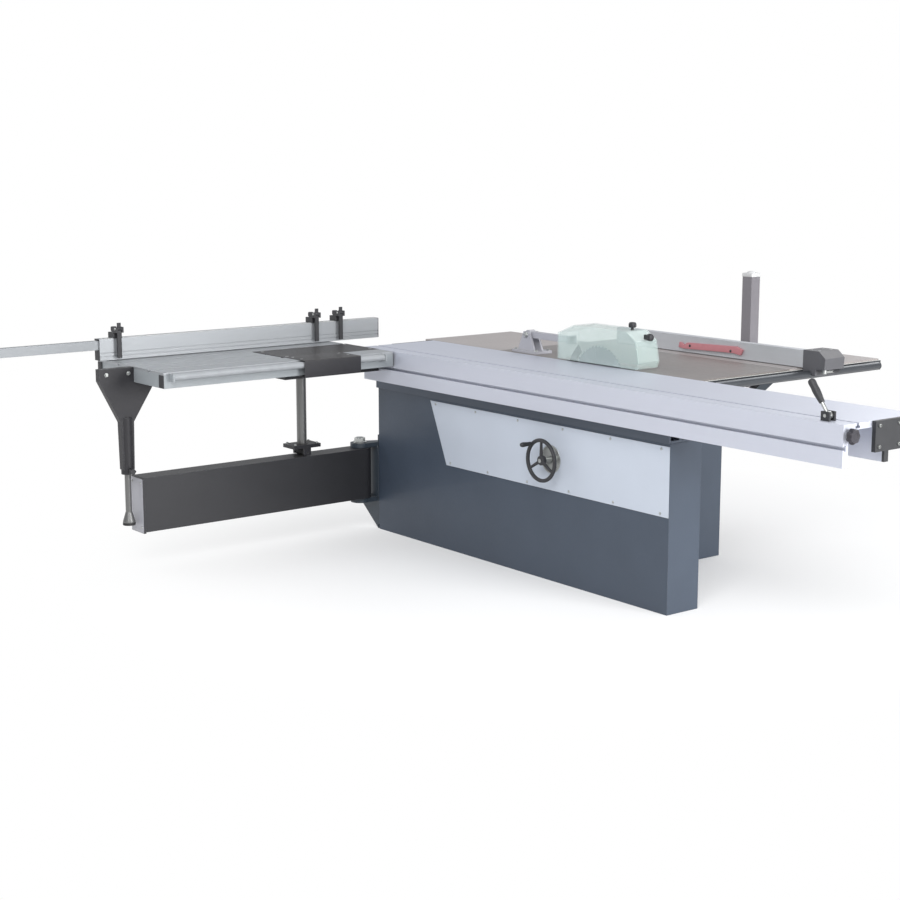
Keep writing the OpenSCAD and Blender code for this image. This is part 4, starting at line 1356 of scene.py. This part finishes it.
@dataclass
class TableTop(Assembly):
    """Cast table, sheet tables, guide bar, rip fence and column."""

    top: float = 0.850
    rail_x: float = 0.762
    rail_top: float = 0.844
    bar: Point = (0.800, -0.060, 0.830)
    bar_end: float = 0.935
    bar_radius: float = 0.015
    lever: Point = (0.862, 0.512, 0.836)
    fence_y: float = 0.500

    def build(self) -> None:
        """Dresses the tables and adds their fittings."""
        self.dress({
            Palette.IRON: "cast_table", Palette.INSERT: "throat_insert",
            Palette.SHEET: "side_table outfeed_table", Palette.BAR: "guide_bar",
            Palette.RIP: "rip_profile", Palette.CARRIER: "rip_carrier",
            Palette.COLUMN: "column"})
        holes = spots((-0.028, 0.368), (-0.054,), (self.top - 0.0012,), UP)
        self.screws.put("insert_screws", "base", Head.FLUSH, 0.0050, holes)
        self.guide()
        self.rip_fence()
        self.rip_lever()
        self.column()

    def guide(self) -> None:
        """End plugs of the bar, screws of its rail, and the rail's scale."""
        x, _, z = self.bar
        wide = self.bar_radius + 0.0006
        plug = [(0, 0), (self.bar_radius, 0), (wide, 0.001), (wide, 0.004),
                (self.bar_radius - 0.002, 0.006), (0, 0.0065)]
        ends = Mesh().lathe(plug, self.bar, -OUT_Y)
        ends.lathe(plug, (x, self.bar_end, z), OUT_Y)
        ends.piece("bar_plugs", Palette.BLACK, "base")
        along = (-0.055, 0.145, 0.345, 0.560, 0.760, 0.965)
        self.screws.put("rail_screws", "base", Head.SOCKET, 0.0055,
                        spots((self.rail_x,), along, (0.824,), OUT_X))
        self.rulers.put("rail", "base", (0.7508, -0.075), (0.7615, 0.995), self.rail_top,
                        (0.7535, -0.070), 107, 0.0030)

    def rip_fence(self) -> None:
        """End plug of the rip fence, its screws and the push stick."""
        y, top = self.fence_y, self.top
        Mesh().box((-0.3455, y, top + 0.0035), (-0.3415, y + 0.036, top + 0.0745), 0.002).piece(
            "rip_plug", Palette.BLACK, "rip")
        heads = spots((0.790, 0.832), (0.515, 0.585), (0.928,), UP)
        self.screws.put("carrier_screws", "rip", Head.FLUSH, 0.007, heads)
        outline = [(0.060, 0.022), (0.090, 0.018), (0.380, 0.026), (0.425, 0.020), (0.436, 0.044),
                   (0.400, 0.056), (0.110, 0.046), (0.096, 0.034), (0.066, 0.046)]
        Mesh().prism([(u, top + v) for u, v in outline], Axis.Y, y - 0.012, y, 0.0028).piece(
            "push_stick_bar", Palette.RED, "rip", "push_stick")
        hooks = spots((0.130, 0.370), (y - 0.012,), (top + 0.034,), -OUT_Y)
        self.screws.put("push_stick_studs", "rip", Head.DOME, 0.006, hooks, Palette.BLACK)

    def rip_lever(self) -> None:
        """Clamp lever under the nose of the carrier."""
        x, y, z = self.lever
        arm = Mesh().lathe([(0, 0), (0.0102, 0), (0.011, 0.0008), (0.011, 0.0158),
                            (0.0102, 0.0166), (0.005, 0.0166), (0.005, 0.034), (0, 0.034)],
                           self.lever, UP, 32)
        arm.box((x - 0.006, y, z + 0.002), (x + 0.006, y + 0.054, z + 0.012), 0.002)
        arm.piece("rip_lever_arm", Palette.ZINC, "rip_lever", "rip_lever", slot="black_plastic")
        grip = [(0, 0.046), (0.0062, 0.046), (0.0070, 0.048), (0.0066, 0.056), (0.0080, 0.078),
                (0.0078, 0.088), (0.0056, 0.0945), (0, 0.096)]
        Mesh().lathe(grip, (x, y, z + 0.007), OUT_Y, 28).piece(
            "rip_lever_grip", Palette.BLACK, "rip_lever")

    def column(self) -> None:
        """Bolts and cap of the column."""
        bolts = spots((-0.074, 0.034), (1.008,), (0.830,), OUT_Y)
        self.screws.put("column_bolts", "base", Head.HEX, 0.009, bolts)
        cap = Mesh().box((-0.051, 1.005, 1.150), (0.011, 1.067, 1.168), 0.005, 3)
        cap.lathe([(0, 0), (0.020, 0), (0.020, 0.003), (0.0165, 0.0065), (0.009, 0.008),
                   (0, 0.008)], (-0.020, 1.036, 1.168), UP)
        cap.piece("column_cap_moulding", Palette.CAP, "base", "column_cap")


@dataclass
class BladeGuard(Assembly):
    """Clear hood on its arm behind the blade."""

    pivot: Point = (-0.330, -0.035, 0.930)
    plate_top: float = 0.862
    top_knob: Point = (0.330, -0.056, 1.008)

    def build(self) -> None:
        """Dresses the guard and adds its fittings."""
        self.dress({Palette.STAND: "guard_stand guard_arm", Palette.HOOD: "guard_hood"})
        bolts = spots((-0.397, -0.263), (-0.064, 0.009), (self.plate_top,), UP)
        self.screws.put("stand_bolts", "base", Head.HEX, 0.0085, bolts)
        x, _, z = self.pivot
        heads = [((x, -0.0622, z), (0, -1, 0)), ((x, -0.0078, z), (0, 1, 0))]
        self.screws.put("pivot_heads", "guard", Head.HEX, 0.013, heads)
        self.knobs()
        Mesh().box((-0.0665, -0.062, 0.912), (-0.060, -0.008, 0.948)).piece(
            "hood_clamp", Palette.STAND, "guard")

    def knobs(self) -> None:
        """Lobed knobs on the top and at the front of the hood."""
        x, y, z = self.top_knob
        knobs = Mesh().lathe([(0, 0), (0.0075, 0), (0.0075, 0.002), (0.006, 0.003),
                              (0.006, 0.012), (0, 0.012)], self.top_knob, UP, 24)
        lobed = [(0, 0, 0), (0.012, 0, 0.05), (0.0165, 0.003, 0.2), (0.017, 0.008, 0.22),
                 (0.0165, 0.016, 0.2), (0.0135, 0.0205, 0.08), (0.006, 0.022, 0), (0, 0.022, 0)]
        knobs.knob((x, y, z + 0.010), UP, 5, lobed)
        knobs.box((0.404, y - 0.008, 0.976), (0.420, y + 0.008, 0.996), 0.002)
        knobs.knob((0.418, y, 0.986), OUT_X, 5, [(r * 0.94, h * 1.25, d) for r, h, d in lobed])
        knobs.piece("hood_knobs", Palette.BLACK, "guard", "guard_knob")


@dataclass
class SawUnit(Assembly):
    """Blade, arbor, motor and the frames that tilt and lift them."""

    arbor: Point = (0.165, -0.083, 0.7725)
    blade_radius: float = 0.1575
    teeth: int = 48
    motor: Point = (0.165, 0.247, 0.580)

    def build(self) -> None:
        """Dresses the saw unit, and adds its carbide tips and the fan cover's screws."""
        self.dress({
            Palette.DARK: "tilt_quadrants tilt_frame lift_carriage",
            Palette.STEEL_Y: "arbor arbor_bearings motor_pulley",
            Palette.STEEL_Z: "lift_screw riving_knife", Palette.BLADE: "saw_blade",
            Palette.MOTOR: "main_motor", Palette.RUBBER: "drive_belt"})
        r = self.blade_radius
        tip = Mesh().box((r - 0.0085, -0.0040, -0.0019), (r + 0.0002, -0.0012, 0.0019), 0.0003, 1)
        self.rounds.put("carbide_tips", "blade", tip.template("tip"), self.teeth, self.arbor,
                        -OUT_Y, Palette.CARBIDE)
        around = diagonal_spots(self.motor, 0.068, Axis.Y, OUT_Y)
        self.screws.put("fan_cover_screws", "lift", Head.DOME, 0.0045, around)


@dataclass
class HandWheels(Assembly):
    """Lift wheel on the front and tilt wheel on the operator end."""

    rim: float = 0.082
    tube: float = 0.008
    shaft: float = 0.012
    handle_angle: float = 130.0
    lift_depth: float = 0.084
    tilt_depth: float = 0.078
    spokes: Point = (90, 210, 330)
    spoke_radii: Point = (0.0072, 0.0052)

    def build(self) -> None:
        """Makes both wheels in place of their solids."""
        lift = Matrix(((1, 0, 0, 0.265), (0, 0, -1, -0.486), (0, 1, 0, 0.505), (0, 0, 0, 1)))
        tilt = Matrix(((0, 0, 1, 0.446), (0, 1, 0, -0.100), (-1, 0, 0, 0.480), (0, 0, 0, 1)))
        self.wheel("lift_wheel", lift, self.lift_depth)
        self.wheel("tilt_wheel", tilt, self.tilt_depth)

    def wheel(self, body: str, place: Matrix, depth: float) -> None:
        """Makes one wheel about its own axis and carries it to its shaft.

        Args:
            body: the body and the solid that it stands for.
            place: from the wheel's own axes to the saw's.
            depth: length of its shaft.
        """
        wheel = Mesh().ring(ORIGIN, UP, self.rim, self.tube, 96, 20)
        for angle in self.spokes:
            a = math.radians(angle)
            way = Vector((math.cos(a), math.sin(a), 0))
            wide, slim = self.spoke_radii
            wheel.rod(way * 0.014, way * (self.rim - 0.003), wide, 20, slim)
        wheel.lathe([(0, -0.014), (0.018, -0.014), (0.0195, -0.012), (0.020, -0.004),
                     (0.0195, 0.004), (0.016, 0.0075), (0.0125, 0.0085), (0, 0.0085)], ORIGIN, UP)
        wheel.move(place).piece(body + "_rim", Palette.BLACK, body, body)
        a = math.radians(self.handle_angle)
        foot = (self.rim * math.cos(a), self.rim * math.sin(a), 0.0)
        metal = Mesh().lathe([(0, -depth), (self.shaft - 0.001, -depth),
                              (self.shaft, -depth + 0.001), (self.shaft, -0.010), (0, -0.010)],
                             ORIGIN, UP)
        metal.lathe([(0, 0.006), (0.0042, 0.006), (0.0042, 0.022), (0, 0.022)], foot, UP, 20)
        metal.lathe([(0, 0.0085), (0.009, 0.0085), (0.009, 0.0092), (0.0075, 0.0100), (0, 0.0100)],
                    ORIGIN, UP, 6)
        metal.move(place).piece(body + "_shaft", Palette.ZINC, body)
        grip = [(0, 0.010), (0.0072, 0.010), (0.0086, 0.013), (0.0078, 0.022), (0.0088, 0.034),
                (0.0100, 0.046), (0.0099, 0.055), (0.0078, 0.0615), (0.0040, 0.0652), (0, 0.066)]
        Mesh().lathe(grip, foot, UP, 32).move(place).piece(
            body + "_handle", Palette.BLACK, body)


def main() -> None:
    """Builds the stage and every sub-assembly."""
    logging.basicConfig(level=logging.INFO, format="%(name)s %(message)s")
    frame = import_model()
    Studio().build()
    screws = Fasteners()
    shared = (frame["nodes"], screws, Rulers(), Rounds())
    for kind in (BaseCabinet, SlidingCarriage, CrosscutTable, TableTop, BladeGuard, SawUnit,
                 HandWheels):
        kind(*shared).build()
        LOG.info("built %s", kind.__name__)
    screws.clear()


if __name__ == "__main__":
    main()
